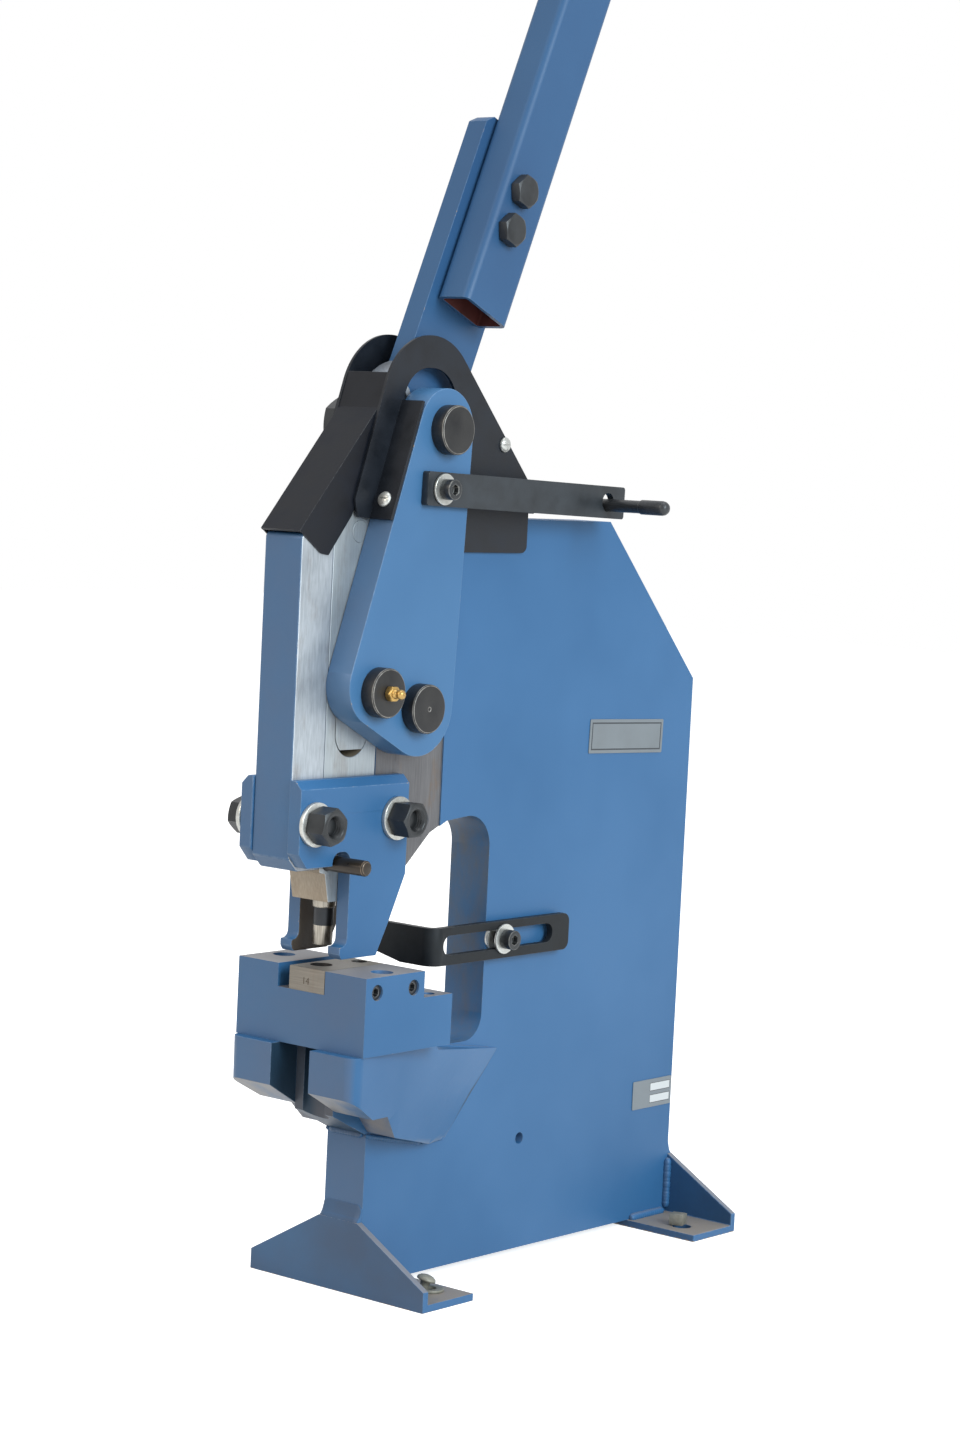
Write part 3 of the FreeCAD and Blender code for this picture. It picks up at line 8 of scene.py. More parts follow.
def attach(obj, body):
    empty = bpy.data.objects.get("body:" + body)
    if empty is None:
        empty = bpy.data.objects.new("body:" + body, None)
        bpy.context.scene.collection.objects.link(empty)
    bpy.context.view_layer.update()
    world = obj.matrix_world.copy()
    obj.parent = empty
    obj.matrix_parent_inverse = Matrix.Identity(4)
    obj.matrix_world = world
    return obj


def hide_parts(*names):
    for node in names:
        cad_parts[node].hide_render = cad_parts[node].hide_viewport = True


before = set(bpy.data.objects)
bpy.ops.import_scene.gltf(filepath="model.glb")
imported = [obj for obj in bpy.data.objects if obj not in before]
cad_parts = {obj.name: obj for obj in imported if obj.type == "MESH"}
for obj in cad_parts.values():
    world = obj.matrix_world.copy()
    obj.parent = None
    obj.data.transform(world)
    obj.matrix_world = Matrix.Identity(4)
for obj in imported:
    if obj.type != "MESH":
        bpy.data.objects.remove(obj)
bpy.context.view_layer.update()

# Camera: stands in front of the machine's right-hand corner, a little above the middle of the frame.
# The long lens keeps the upright edges nearly parallel.
camera_place = Vector((1.3643, -1.7100, 0.5406))
camera_turn = math.radians(39.43)
camera_rise = math.radians(4.65)
camera_roll = math.radians(2.79)
camera_lens = 81.1

level_right = Vector((math.cos(camera_turn), math.sin(camera_turn), 0))
back = Vector((math.sin(camera_turn) * math.cos(camera_rise),
               -math.cos(camera_turn) * math.cos(camera_rise),
               math.sin(camera_rise)))
level_up = back.cross(level_right)
right = math.cos(camera_roll) * level_right + math.sin(camera_roll) * level_up
up = -math.sin(camera_roll) * level_right + math.cos(camera_roll) * level_up
camera_data = bpy.data.cameras.new("camera")
camera_data.lens = camera_lens
camera_data.sensor_width = 36
camera_data.clip_end = 30
camera = bpy.data.objects.new("camera", camera_data)
camera.matrix_world = Matrix((
    (right.x, up.x, back.x, camera_place.x),
    (right.y, up.y, back.y, camera_place.y),
    (right.z, up.z, back.z, camera_place.z),
    (0, 0, 0, 1)))
bpy.context.scene.collection.objects.link(camera)
bpy.context.scene.camera = camera
bpy.context.scene.view_settings.view_transform = "Standard"


def linear(red, green, blue):
    """A colour written in 0-255 display values, as the shader wants it."""
    parts = []
    for value in (red, green, blue):
        share = value / 255
        parts.append(share / 12.92 if share <= 0.04045 else ((share + 0.055) / 1.055) ** 2.4)
    return (*parts, 1)


# Studio: a plain white floor under a white world, with a large soft lamp on the right and weaker ones in
# front and above. Camera and mirror rays see white, while the machine itself is lit at a plain level.
floor_size = 14
floor_colour = linear(232, 232, 232)
floor_bounce = linear(188, 180, 170)
floor_lift = 0.72
sky_light = 0.6


def background_share(nodes, links):
    """1 for the rays that show the background: straight to the camera, mirrored or through glass."""
    path = nodes.new("ShaderNodeLightPath")
    share = path.outputs["Is Camera Ray"]
    for ray in ("Is Glossy Ray", "Is Transmission Ray"):
        larger = nodes.new("ShaderNodeMath")
        larger.operation = "MAXIMUM"
        links.new(share, larger.inputs[0])
        links.new(path.outputs[ray], larger.inputs[1])
        share = larger.outputs[0]
    return share


world = bpy.data.worlds.new("studio")
bpy.context.scene.world = world
world.use_nodes = True
sky_nodes, sky_links = world.node_tree.nodes, world.node_tree.links
sky_nodes.clear()
sky_seen = sky_nodes.new("ShaderNodeBackground")
sky_seen.inputs["Color"].default_value = (1, 1, 1, 1)
sky_seen.inputs["Strength"].default_value = 1
sky_given = sky_nodes.new("ShaderNodeBackground")
sky_given.inputs["Color"].default_value = (1, 1, 1, 1)
sky_given.inputs["Strength"].default_value = sky_light
sky_choose = sky_nodes.new("ShaderNodeMixShader")
sky_out = sky_nodes.new("ShaderNodeOutputWorld")
sky_links.new(background_share(sky_nodes, sky_links), sky_choose.inputs["Fac"])
sky_links.new(sky_given.outputs[0], sky_choose.inputs[1])
sky_links.new(sky_seen.outputs[0], sky_choose.inputs[2])
sky_links.new(sky_choose.outputs[0], sky_out.inputs["Surface"])

floor_mesh = bmesh.new()
bmesh.ops.create_grid(floor_mesh, x_segments=1, y_segments=1, size=floor_size / 2)
floor_data = bpy.data.meshes.new("floor")
floor_mesh.to_mesh(floor_data)
floor_mesh.free()
floor = bpy.data.objects.new("floor", floor_data)
bpy.context.scene.collection.objects.link(floor)
floor_paint = bpy.data.materials.new("floor_white")
floor_paint.use_nodes = True
floor_nodes, floor_links = floor_paint.node_tree.nodes, floor_paint.node_tree.links
floor_nodes.clear()
floor_seen = floor_nodes.new("ShaderNodeBsdfDiffuse")
floor_seen.inputs["Color"].default_value = floor_colour
floor_glow = floor_nodes.new("ShaderNodeEmission")
floor_glow.inputs["Strength"].default_value = floor_lift
floor_add = floor_nodes.new("ShaderNodeAddShader")
floor_given = floor_nodes.new("ShaderNodeBsdfDiffuse")
floor_given.inputs["Color"].default_value = floor_bounce
floor_pick = floor_nodes.new("ShaderNodeMixShader")
floor_out = floor_nodes.new("ShaderNodeOutputMaterial")
floor_links.new(floor_seen.outputs[0], floor_add.inputs[0])
floor_links.new(floor_glow.outputs[0], floor_add.inputs[1])
floor_links.new(background_share(floor_nodes, floor_links), floor_pick.inputs["Fac"])
floor_links.new(floor_given.outputs[0], floor_pick.inputs[1])
floor_links.new(floor_add.outputs[0], floor_pick.inputs[2])
floor_links.new(floor_pick.outputs[0], floor_out.inputs["Surface"])
floor_data.materials.append(floor_paint)


def soft_lamp(name, place, target, size, watts, tint):
    """A square studio lamp turned towards its target."""
    lamp_data = bpy.data.lights.new(name, "AREA")
    lamp_data.color = tint
    lamp_data.shape = "SQUARE"
    lamp_data.size = size
    lamp_data.energy = watts
    lamp = bpy.data.objects.new(name, lamp_data)
    lamp.location = place
    lamp.rotation_euler = (Vector(target) - Vector(place)).to_track_quat("-Z", "Y").to_euler()
    bpy.context.scene.collection.objects.link(lamp)


soft_lamp("lamp_right", (3.0, -0.4, 1.6), (0, 0, 0.5), 1.6, 84, (0.86, 0.96, 1))
soft_lamp("lamp_front", (-0.6, -3.2, 2.2), (0, 0, 0.6), 1.8, 44, (1, 0.88, 0.74))
soft_lamp("lamp_top", (0.3, 0.2, 3.4), (0, 0, 0.5), 1.8, 30, (1, 1, 1))


# Frame plate: flame-cut plate 33 mm thick, sprayed in blue enamel; the band beside the ram is milled bare.
# Its edges are broken by hand, so the paint there is thin, scuffed and chipped down to the tan primer; a pale
# painted highlight runs along them.
# The slot between the jaw sides is given a dark blue painted shade, and oil and swarf have greyed the throat.
column_front = -0.1655
enamel_blue = linear(54, 105, 153)
enamel_deep = linear(47, 96, 142)
enamel_scuff_highlight = linear(118, 146, 178)
primer_tan = linear(178, 150, 118)
dust_grey = linear(138, 131, 124)
underside_beige = linear(158, 154, 148)


def spot(x, y, z):
    """A place given in millimetres from the column's front face, in metres."""
    return Vector((x / 1000, y / 1000 + column_front, z / 1000))


def shader_tree(name):
    """A material with an empty tree and its principled shader."""
    made = bpy.data.materials.new(name)
    made.use_nodes = True
    nodes, links = made.node_tree.nodes, made.node_tree.links
    nodes.clear()
    out = nodes.new("ShaderNodeOutputMaterial")
    shader = nodes.new("ShaderNodeBsdfPrincipled")
    links.new(shader.outputs[0], out.inputs["Surface"])
    return made, nodes, links, shader


def place_from(nodes, links, stretch=(1, 1, 1), centre=(0, 0, 0)):
    """Object coordinates about a centre, stretched for brushed or rolled directions."""
    coordinates = nodes.new("ShaderNodeTexCoord")
    mapping = nodes.new("ShaderNodeMapping")
    mapping.inputs["Location"].default_value = [-c * s for c, s in zip(centre, stretch)]
    mapping.inputs["Scale"].default_value = stretch
    links.new(coordinates.outputs["Object"], mapping.inputs["Vector"])
    return mapping.outputs["Vector"]


def cloud(nodes, links, where, scale, detail=4, rough=0.55):
    noise = nodes.new("ShaderNodeTexNoise")
    noise.inputs["Scale"].default_value = scale
    noise.inputs["Detail"].default_value = detail
    noise.inputs["Roughness"].default_value = rough
    links.new(where, noise.inputs["Vector"])
    return noise.outputs["Fac"]


def between(nodes, links, value, low, high, low_out=0.0, high_out=1.0):
    """The value's step from low to high, as a share or between two other numbers."""
    ranged = nodes.new("ShaderNodeMapRange")
    ranged.inputs["From Min"].default_value = low
    ranged.inputs["From Max"].default_value = high
    ranged.inputs["To Min"].default_value = low_out
    ranged.inputs["To Max"].default_value = high_out
    links.new(value, ranged.inputs["Value"])
    return ranged.outputs["Result"]


def sums(nodes, links, kind, first, second):
    node = nodes.new("ShaderNodeMath")
    node.operation = kind
    for socket, value in zip(node.inputs, (first, second)):
        if isinstance(value, (int, float)):
            socket.default_value = value
        else:
            links.new(value, socket)
    return node.outputs[0]


def blended(nodes, links, share, first, second):
    mix = nodes.new("ShaderNodeMix")
    mix.data_type = "RGBA"
    links.new(share, mix.inputs["Factor"])
    for socket, value in ((mix.inputs[6], first), (mix.inputs[7], second)):
        if isinstance(value, tuple):
            socket.default_value = value
        else:
            links.new(value, socket)
    return mix.outputs[2]


def bumped(nodes, links, shader, height, strength, distance):
    bump = nodes.new("ShaderNodeBump")
    bump.inputs["Strength"].default_value = strength
    bump.inputs["Distance"].default_value = distance
    links.new(height, bump.inputs["Height"])
    links.new(bump.outputs["Normal"], shader.inputs["Normal"])


def facing(nodes, links, axis):
    """One part of the surface's own normal: its Z is 1 on top faces and -1 underneath."""
    geometry = nodes.new("ShaderNodeNewGeometry")
    parts = nodes.new("ShaderNodeSeparateXYZ")
    links.new(geometry.outputs["Normal"], parts.inputs[0])
    return parts.outputs[axis]


def edge_wear_and_highlight(nodes, links):
    """1 on the rounded edges of a piece, 0 elsewhere."""
    worn_and_highlit = nodes.new("ShaderNodeAttribute")
    worn_and_highlit.attribute_name = "edge"
    return worn_and_highlit.outputs["Fac"]


def enamel(name, chips=0.46, dust=0.0, beneath=0.0, base=enamel_blue, deep=enamel_deep, front=0.0,
           grime_and_shade=linear(118, 110, 110)):
    """Sprayed enamel: cloudy, orange peel, chipped edges with a pale painted highlight; if asked, dusty,
    beige-grey beneath, and front faces darkened by painted shade with grime.
    """
    made, nodes, links, shader = shader_tree(name)
    where = place_from(nodes, links)
    wide = cloud(nodes, links, where, 7, 3)
    peel = cloud(nodes, links, where, 1100, 2)
    colour = blended(nodes, links, between(nodes, links, wide, 0.35, 0.7), base, deep)
    # Faces turned downwards take a pale beige-grey in patches.
    if beneath:
        low = between(nodes, links, facing(nodes, links, "Z"), -0.25, -0.6, 0, beneath)
        patch = between(nodes, links, cloud(nodes, links, where, 26, 4), 0.3, 0.55)
        colour = blended(nodes, links, sums(nodes, links, "MULTIPLY", low, patch), colour, underside_beige)
    # Faces turned to the front are darkened towards the tint in patches: painted shade, mixed with grime.
    if front:
        ahead = between(nodes, links, facing(nodes, links, "Y"), -0.5, -0.85, 0, front)
        patch = between(nodes, links, cloud(nodes, links, where, 14, 4), 0.3, 0.65, 0.6, 1.25)
        colour = blended(nodes, links, sums(nodes, links, "MULTIPLY", ahead, patch), colour, grime_and_shade)
    flakes = cloud(nodes, links, where, 190, 5, 0.72)
    wear = sums(nodes, links, "MULTIPLY", edge_wear_and_highlight(nodes, links), chips)
    mask = sums(nodes, links, "ADD", wear, flakes)
    # Along the rounded edges the paint turns pale: scuffing and a painted highlight.
    scuff_highlight = between(nodes, links, mask, 0.84, 1.08, 0, 0.42)
    chip = between(nodes, links, mask, 1.10, 1.13)
    colour = blended(nodes, links, scuff_highlight, colour, enamel_scuff_highlight)
    colour = blended(nodes, links, chip, colour, primer_tan)
    if dust:
        upward = between(nodes, links, facing(nodes, links, "Z"), 0.6, 1.0, 0, dust)
        patch = between(nodes, links, cloud(nodes, links, where, 30, 5, 0.65), 0.2, 0.42, 0.3, 1)
        colour = blended(nodes, links, sums(nodes, links, "MULTIPLY", upward, patch), colour, dust_grey)
    links.new(colour, shader.inputs["Base Color"])
    shader.inputs["Specular IOR Level"].default_value = 0.36
    links.new(between(nodes, links, wide, 0.3, 0.7, 0.36, 0.5), shader.inputs["Roughness"])
    relief = sums(nodes, links, "SUBTRACT", peel, sums(nodes, links, "MULTIPLY", chip, 2))
    bumped(nodes, links, shader, relief, 0.14, 0.0004)
    return made


stain_brown = linear(112, 92, 72)


def ground_metal(name, light, dark, stretch, rough=0.35, metal=1.0, grain=0.25, stain=0.0):
    """Bare metal: milling or grinding lines along one direction, cloudy tone, oil and dirt stains."""
    made, nodes, links, shader = shader_tree(name)
    where = place_from(nodes, links)
    lines = cloud(nodes, links, place_from(nodes, links, stretch), 40, 3, 0.6)
    wide = cloud(nodes, links, where, 16, 4)
    tone = between(nodes, links, sums(nodes, links, "ADD", sums(nodes, links, "MULTIPLY", lines, 0.4),
                                      sums(nodes, links, "MULTIPLY", wide, 0.6)), 0.35, 0.66)
    colour = blended(nodes, links, tone, dark, light)
    if stain:
        smear = cloud(nodes, links, place_from(nodes, links, (1, 1, 0.35)), 55, 5, 0.7)
        colour = blended(nodes, links, between(nodes, links, smear, 0.54, 0.7, 0, stain), colour, stain_brown)
    links.new(colour, shader.inputs["Base Color"])
    shader.inputs["Metallic"].default_value = metal
    links.new(between(nodes, links, wide, 0.3, 0.7, rough - 0.06, rough + 0.1), shader.inputs["Roughness"])
    bumped(nodes, links, shader, lines, grain, 0.0003)
    return made


broad_face = 0.00012


def soften(mesh, width, steps, sharp):
    """Round the sharp edges of a mesh and mark the rounds, where the finish wears and takes a painted
    highlight; broad faces stay flat.
    """
    worn_and_highlit = mesh.faces.layers.float.new("edge")
    corners = [edge for edge in mesh.edges
               if len(edge.link_faces) == 2 and edge.calc_face_angle(0) > math.radians(sharp)]
    rounds = bmesh.ops.bevel(mesh, geom=corners, offset=width, segments=steps, profile=0.5,
                             affect="EDGES", material=-1, clamp_overlap=True)
    for face in rounds["faces"]:
        face[worn_and_highlit] = 1
    for face in mesh.faces:
        face.smooth = face.calc_area() < broad_face
    for edge in mesh.edges:
        edge.smooth = len(edge.link_faces) == 2 and edge.calc_face_angle(0) < math.radians(sharp)


def fitted(name, mesh, finishes, body, slot, *nodes):
    """A finished piece from its mesh: it rides on its body and stands for its CAD nodes."""
    data = bpy.data.meshes.new(name)
    mesh.to_mesh(data)
    mesh.free()
    for finish in finishes:
        data.materials.append(finish)
    piece = bpy.data.objects.new(name, data)
    bpy.context.scene.collection.objects.link(piece)
    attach(piece, body)
    if nodes:
        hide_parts(*nodes)
    return piece


def dressed(node, finishes, width, body, slot, steps=2, sharp=28, choose=None, split=None):
    """The CAD piece with its edges broken, cut at a height if asked; choose picks each face's finish."""
    mesh = bmesh.new()
    mesh.from_mesh(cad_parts[node].data)
    bmesh.ops.remove_doubles(mesh, verts=mesh.verts, dist=0.00002)
    bmesh.ops.dissolve_limit(mesh, angle_limit=math.radians(0.6), verts=mesh.verts, edges=mesh.edges)
    soften(mesh, width, steps, sharp)
    if split:
        bmesh.ops.bisect_plane(mesh, geom=mesh.verts[:] + mesh.edges[:] + mesh.faces[:], dist=0.000001,
                               plane_co=(0, 0, split), plane_no=(0, 0, 1))
    if choose:
        for face in mesh.faces:
            face.material_index = choose(face.calc_center_median(), face.normal)
    return fitted(node + "_finished", mesh, finishes, body, slot, node)


def grimy(name):
    """Enamel behind the die, with brown-grey smears of oil and swarf."""
    made = enamel(name, chips=0.6)
    nodes, links = made.node_tree.nodes, made.node_tree.links
    shader = next(node for node in nodes if node.type == "BSDF_PRINCIPLED")
    clean = shader.inputs["Base Color"].links[0].from_socket
    smear = cloud(nodes, links, place_from(nodes, links, (1, 1, 0.4)), 38, 5, 0.68)
    share = between(nodes, links, smear, 0.4, 0.66, 0.1, 0.75)
    links.new(blended(nodes, links, share, clean, linear(96, 98, 98)), shader.inputs["Base Color"])
    return made


side_on = 0.9
edge_on = 0.5
recess_side = 0.0155
jaw_slot_side = 0.0163
jaw_slot_depths = (-0.225, -0.17)
jaw_slot_heights = (0.1, 0.166)
throat_depths = (-0.157, -0.05)
throat_heights = (0.15, 0.32)
blue_enamel = enamel("blue_enamel", front=0.2)
grimy_enamel = grimy("grimy_enamel")
milled_band = ground_metal("milled_band", linear(116, 116, 119), linear(84, 84, 87), (30, 30, 1), 0.45, 0.5,
                           stain=0.6)
# A dark blue for the slot between the jaw sides and their inner faces: painted shade.
slot_shade_blue = enamel("slot_shade_blue", base=linear(40, 66, 88), deep=linear(32, 54, 74), front=0.3)


def lies_in(centre, side, depths, heights):
    """Whether a face lies near enough to the middle plane, and between two depths and two heights."""
    return abs(centre.x) < side and depths[0] < centre.y < depths[1] and heights[0] < centre.z < heights[1]


def frame_finish(centre, normal):
    """The plate's finish by place; normal.x tells its sides and the recesses' walls from its edges."""
    # Faces in the slot between the jaw sides take the dark painted shade.
    if lies_in(centre, jaw_slot_side, jaw_slot_depths, jaw_slot_heights):
        return 3
    if abs(abs(centre.x) - recess_side) < 0.0002 and abs(normal.x) > side_on:
        return 1
    in_throat = lies_in(centre, recess_side, throat_depths, throat_heights)
    return 2 if in_throat and abs(normal.x) < edge_on else 0


dressed("frame_plate", (blue_enamel, milled_band, grimy_enamel, slot_shade_blue), 0.0012, "root", "blue_paint",
        choose=frame_finish)

# Feet: two lengths of 50 mm angle, cut to a gable and welded across the ends of the frame plate, with beads
# at its sides and a dressed-down fillet above. Their lower edges have been dragged over the floor, so the
# paint there is broken down to the primer.
weld_radius = 0.0032
weld_pitch = 0.0024
dragged_edge = 0.0014
# A dark tint for front faces: painted shade mixed with grime.
dark_grime_and_shade = linear(68, 66, 72)
dragged_enamel = enamel("dragged_enamel", chips=0.62)
# The feet's front faces get painted shade mixed with grime; the rear foot, in the frame plate's shade, gets a
# darker painted shade.
for node, grime_and_shade in (("foot_front", dark_grime_and_shade), ("foot_rear", linear(38, 40, 48))):
    foot_enamel = enamel(node + "_enamel", chips=0.4, dust=1.0, front=0.45, grime_and_shade=grime_and_shade)
    dressed(node, (foot_enamel, dragged_enamel), 0.0012, "root", "blue_paint",
            choose=lambda centre, normal: 1 if centre.z < dragged_edge else 0)


def add_mesh(whole, part):
    """Take one mesh into another, which may hold several separate pieces."""
    carrier = bpy.data.meshes.new("carrier")
    part.to_mesh(carrier)
    part.free()
    whole.from_mesh(carrier)
    bpy.data.meshes.remove(carrier)


def weld_bead(whole, start, end, radius=weld_radius, *, seed):
    """One weld run along a seam: a round bar with the ripples of a hand-drawn bead and tapered ends."""
    chance = random.Random(seed)
    run = end - start
    count = max(4, round(run.length / weld_pitch))
    bead = bmesh.new()
    bmesh.ops.create_cone(bead, cap_ends=True, cap_tris=False, segments=10, radius1=radius, radius2=radius,
                          depth=run.length)
    lengthwise = [edge for edge in bead.edges
                  if abs(edge.verts[0].co.z - edge.verts[1].co.z) > run.length / 2]
    bmesh.ops.subdivide_edges(bead, edges=lengthwise, cuts=count * 3 - 1)
    uneven = [chance.uniform(0.94, 1.06) for _ in range(count + 2)]
    for vert in bead.verts:
        along = vert.co.z / run.length + 0.5
        step = along * count
        swell = (0.9 + 0.1 * abs(math.sin(step * math.pi))) * uneven[int(step + 0.5)]
        taper = min(1, 0.55 + 0.45 * min(along, 1 - along) * count)
        vert.co.x *= swell * taper
        vert.co.y *= swell * taper
    place = Matrix.Translation((start + end) / 2) @ run.to_track_quat("Z", "Y").to_matrix().to_4x4()
    bmesh.ops.transform(bead, matrix=place, verts=bead.verts)
    for face in bead.faces:
        face.smooth = True
    add_mesh(whole, bead)


def weld_fillet(whole, outline, half_length, seed):
    """A dressed-down weld across the plate: a section of (y, z) points drawn out with a slight swell."""
    chance = random.Random(seed)
    fillet = bmesh.new()
    spans = 24
    heel_y = sum(y for y, z in outline) / len(outline)
    heel_z = min(z for y, z in outline)
    ends = []
    for step in range(spans + 1):
        share = step / spans
        x = (share * 2 - 1) * half_length
        swell = chance.uniform(0.97, 1.03) * min(1, 0.8 + min(share, 1 - share) * 2)
        ring = [fillet.verts.new(spot(x, heel_y + (y - heel_y) * swell, heel_z + (z - heel_z) * swell))
                for y, z in outline]
        for pair in zip(ring, ring[1:] + ring[:1]):
            fillet.edges.new(pair)
        if step in (0, spans):
            ends.append(ring)
    bmesh.ops.bridge_loops(fillet, edges=fillet.edges[:])
    for face in fillet.faces:
        face.smooth = True
    for ring in ends:
        fillet.faces.new(ring)
    bmesh.ops.recalc_face_normals(fillet, faces=fillet.faces)
    add_mesh(whole, fillet)


# The welds' front faces are darkened the same way, with painted shade mixed with grime.
weld_enamel = enamel("weld_enamel", chips=0.0, dust=0.35, front=0.45, grime_and_shade=dark_grime_and_shade)
frame_depth = 331
weld_side = 17.3
face_weld_in = 1
face_weld_ends = (8, 44)
flange_weld_high = 6
flange_weld_ends = (4, 43)
fillet_half = 16.3
fillet_section = ((0.6, 44), (-4.2, 44), (-4.9, 46.6), (-4.6, 47.9), (-3.4, 49.2), (-2.3, 51), (-1.4, 53.2),
                  (-0.6, 55.8), (0.1, 58.5), (0.6, 58.5))
foot_welds = bmesh.new()
for side in (1, -1):
    x = weld_side * side
    for y, seed in ((face_weld_in, 2), (frame_depth - face_weld_in, 3)):
        weld_bead(foot_welds, *(spot(x, y, z) for z in face_weld_ends), seed=seed)
    front_run = [spot(x, y, flange_weld_high) for y in flange_weld_ends]
    rear_run = [spot(x, frame_depth - y, flange_weld_high) for y in reversed(flange_weld_ends)]
    weld_bead(foot_welds, *front_run, seed=4)
    weld_bead(foot_welds, *rear_run, seed=5)
weld_fillet(foot_welds, fillet_section, fillet_half, seed=6)
weld_fillet(foot_welds, [(frame_depth - y, z) for y, z in fillet_section], fillet_half, seed=7)
fitted("foot_welds", foot_welds, (weld_enamel,), "root", "blue_paint")

# Transit fasteners: what held the machine to its pallet, a domed bolt and a washer in front and a square nut
# behind. They are dull zinc and lie loose: the bolt leans in its hole, the others lie on the flanges.
transit_zinc = ground_metal("transit_zinc", linear(152, 152, 142), linear(112, 112, 104), (8, 8, 8), 0.5, 0.4,
                            0.1, stain=0.3)
plumb = (0, 0, 1)
bolt_shank = ((-10, 0), (-10, 3), (-2, 3), (-2, 3.3), (0, 3.3))
bolt_dome = ((0, 6), (0.8, 6.4), (2, 6), (3.2, 4.4), (3.9, 2.2), (4.1, 0))
bolt_place = spot(49, 28, 11)
bolt_lean = Matrix.Rotation(math.radians(-14), 4, "X") @ Matrix.Rotation(math.radians(9), 4, "Y")
washer_section = ((5.02, 4), (5.02, 8.6), (5.3, 9), (6.5, 9), (6.8, 8.6), (6.8, 4))
foot_hole = (52.5, 28.5)
nut_place = spot(49, 302.5, 9.5)
nut_size = (0.01, 0.01, 0.0075)
nut_turn = Matrix.Rotation(0.3, 4, "Z")


def turned(mesh, outline, x, y, z, axis=(1, 0, 0), steps=48):
    """Spin a half outline of (along, radius) points, in millimetres, about an axis through a place."""
    along = Vector(axis)
    out = along.orthogonal().normalized()
    start = spot(x, y, z)
    verts = [mesh.verts.new(start + along * (a / 1000) + out * (r / 1000)) for a, r in outline]
    edges = [mesh.edges.new(pair) for pair in zip(verts, verts[1:])]
    closed = outline[0][1] > 0 and outline[-1][1] > 0
    if closed:
        edges.append(mesh.edges.new((verts[-1], verts[0])))
    bmesh.ops.spin(mesh, geom=verts + edges, cent=start, axis=along, dvec=(0, 0, 0), angle=math.tau,
                   steps=steps, use_merge=True)
    bmesh.ops.remove_doubles(mesh, verts=mesh.verts, dist=0.000005)
    bmesh.ops.recalc_face_normals(mesh, faces=mesh.faces)


def carried(mesh, home):
    """Move a mesh that was made at the column's front face, on the floor, to its place and lean."""
    bmesh.ops.transform(mesh, matrix=home @ Matrix.Translation(-spot(0, 0, 0)), verts=mesh.verts)


def block(middle, size, turn=Matrix.Identity(4)):
    """A box of a size in metres about its middle."""
    box = bmesh.new()
    bmesh.ops.create_cube(box, size=1)
    place = Matrix.Translation(middle) @ turn @ Matrix.Diagonal((*size, 1))
    bmesh.ops.transform(box, matrix=place, verts=box.verts)
    return box


transit = bmesh.new()
transit_bolt = bmesh.new()
turned(transit_bolt, bolt_shank + bolt_dome, 0, 0, 0, plumb, 36)
carried(transit_bolt, Matrix.Translation(bolt_place) @ bolt_lean)
add_mesh(transit, transit_bolt)
transit_washer = bmesh.new()
turned(transit_washer, washer_section, *foot_hole, 0, plumb, 36)
add_mesh(transit, transit_washer)
add_mesh(transit, block(nut_place, nut_size, nut_turn))
soften(transit, 0.0003, 2, 30)
fitted("transit_fasteners", transit, (transit_zinc,), "root", "zinc")

# Jaw sides: thick plates ground to a taper and welded to the lower jaw; their undersides are pale beige-grey
# in patches, and their inner faces, in the slot, get a dark painted shade. The painted lower weld trails off
# onto the frame plate.
jaw_enamel = enamel("jaw_enamel", beneath=0.7, front=0.25)
jaw_inner = 0.017
for node in ("jaw_side_right", "jaw_side_left"):
    dressed(node, (jaw_enamel, slot_shade_blue), 0.0016, "root", "blue_paint",
            choose=lambda centre, normal: 1 if abs(centre.x) < jaw_inner and abs(normal.x) > side_on else 0)
jaw_weld_side = 16.4
jaw_runs = (((-1, 103.6), (53, 91.9), 0.0019, 8), ((55, 91.8), (78, 92), 0.0016, 9),
            ((46, 157.6), (122, 146.4), 0.0016, 10))
column_weld_half = 14
jaw_welds = bmesh.new()
for side in (1, -1):
    x = jaw_weld_side * side
    for start, end, radius, seed in jaw_runs:
        weld_bead(jaw_welds, spot(x, *start), spot(x, *end), radius, seed=seed)
weld_bead(jaw_welds, *(spot(column_weld_half * side, -0.4, 103.8) for side in (-1, 1)), 0.0026, seed=11)
fitted("jaw_welds", jaw_welds, (weld_enamel,), "root", "blue_paint")

# Die block: a milled block, painted all over, held by two cap screws; two set screws press the die sideways.
# Its top is dull with dust and handling.
block_enamel = enamel("block_enamel", dust=0.75, front=0.2)
dressed("die_block", (block_enamel,), 0.0008, "root", "blue_paint")


def oxide(name, tone=linear(52, 56, 62), worn_and_highlit=linear(112, 114, 116), rough=0.42, metal=0.35, scale=400,
          grain=0.1, shine=0.4):
    """A dark finish, black oxide unless told otherwise: uneven sheen, fine grain, edges paler, partly rubbed
    and partly a painted highlight.
    """
    made, nodes, links, shader = shader_tree(name)
    where = place_from(nodes, links)
    wide = cloud(nodes, links, where, 60, 4)
    dark = tuple(0.6 * part for part in tone[:3]) + (1,)
    colour = blended(nodes, links, between(nodes, links, wide, 0.3, 0.7), dark, tone)
    rub_and_highlight = sums(nodes, links, "MULTIPLY", edge_wear_and_highlight(nodes, links),
               between(nodes, links, cloud(nodes, links, where, 240, 4), 0.38, 0.62, 0.15, 0.85))
    links.new(blended(nodes, links, rub_and_highlight, colour, worn_and_highlit), shader.inputs["Base Color"])
    shader.inputs["Metallic"].default_value = metal
    shader.inputs["Specular IOR Level"].default_value = shine
    links.new(between(nodes, links, wide, 0.3, 0.7, rough - 0.08, rough + 0.1), shader.inputs["Roughness"])
    bumped(nodes, links, shader, cloud(nodes, links, where, scale, 3), grain, 0.0003)
    return made


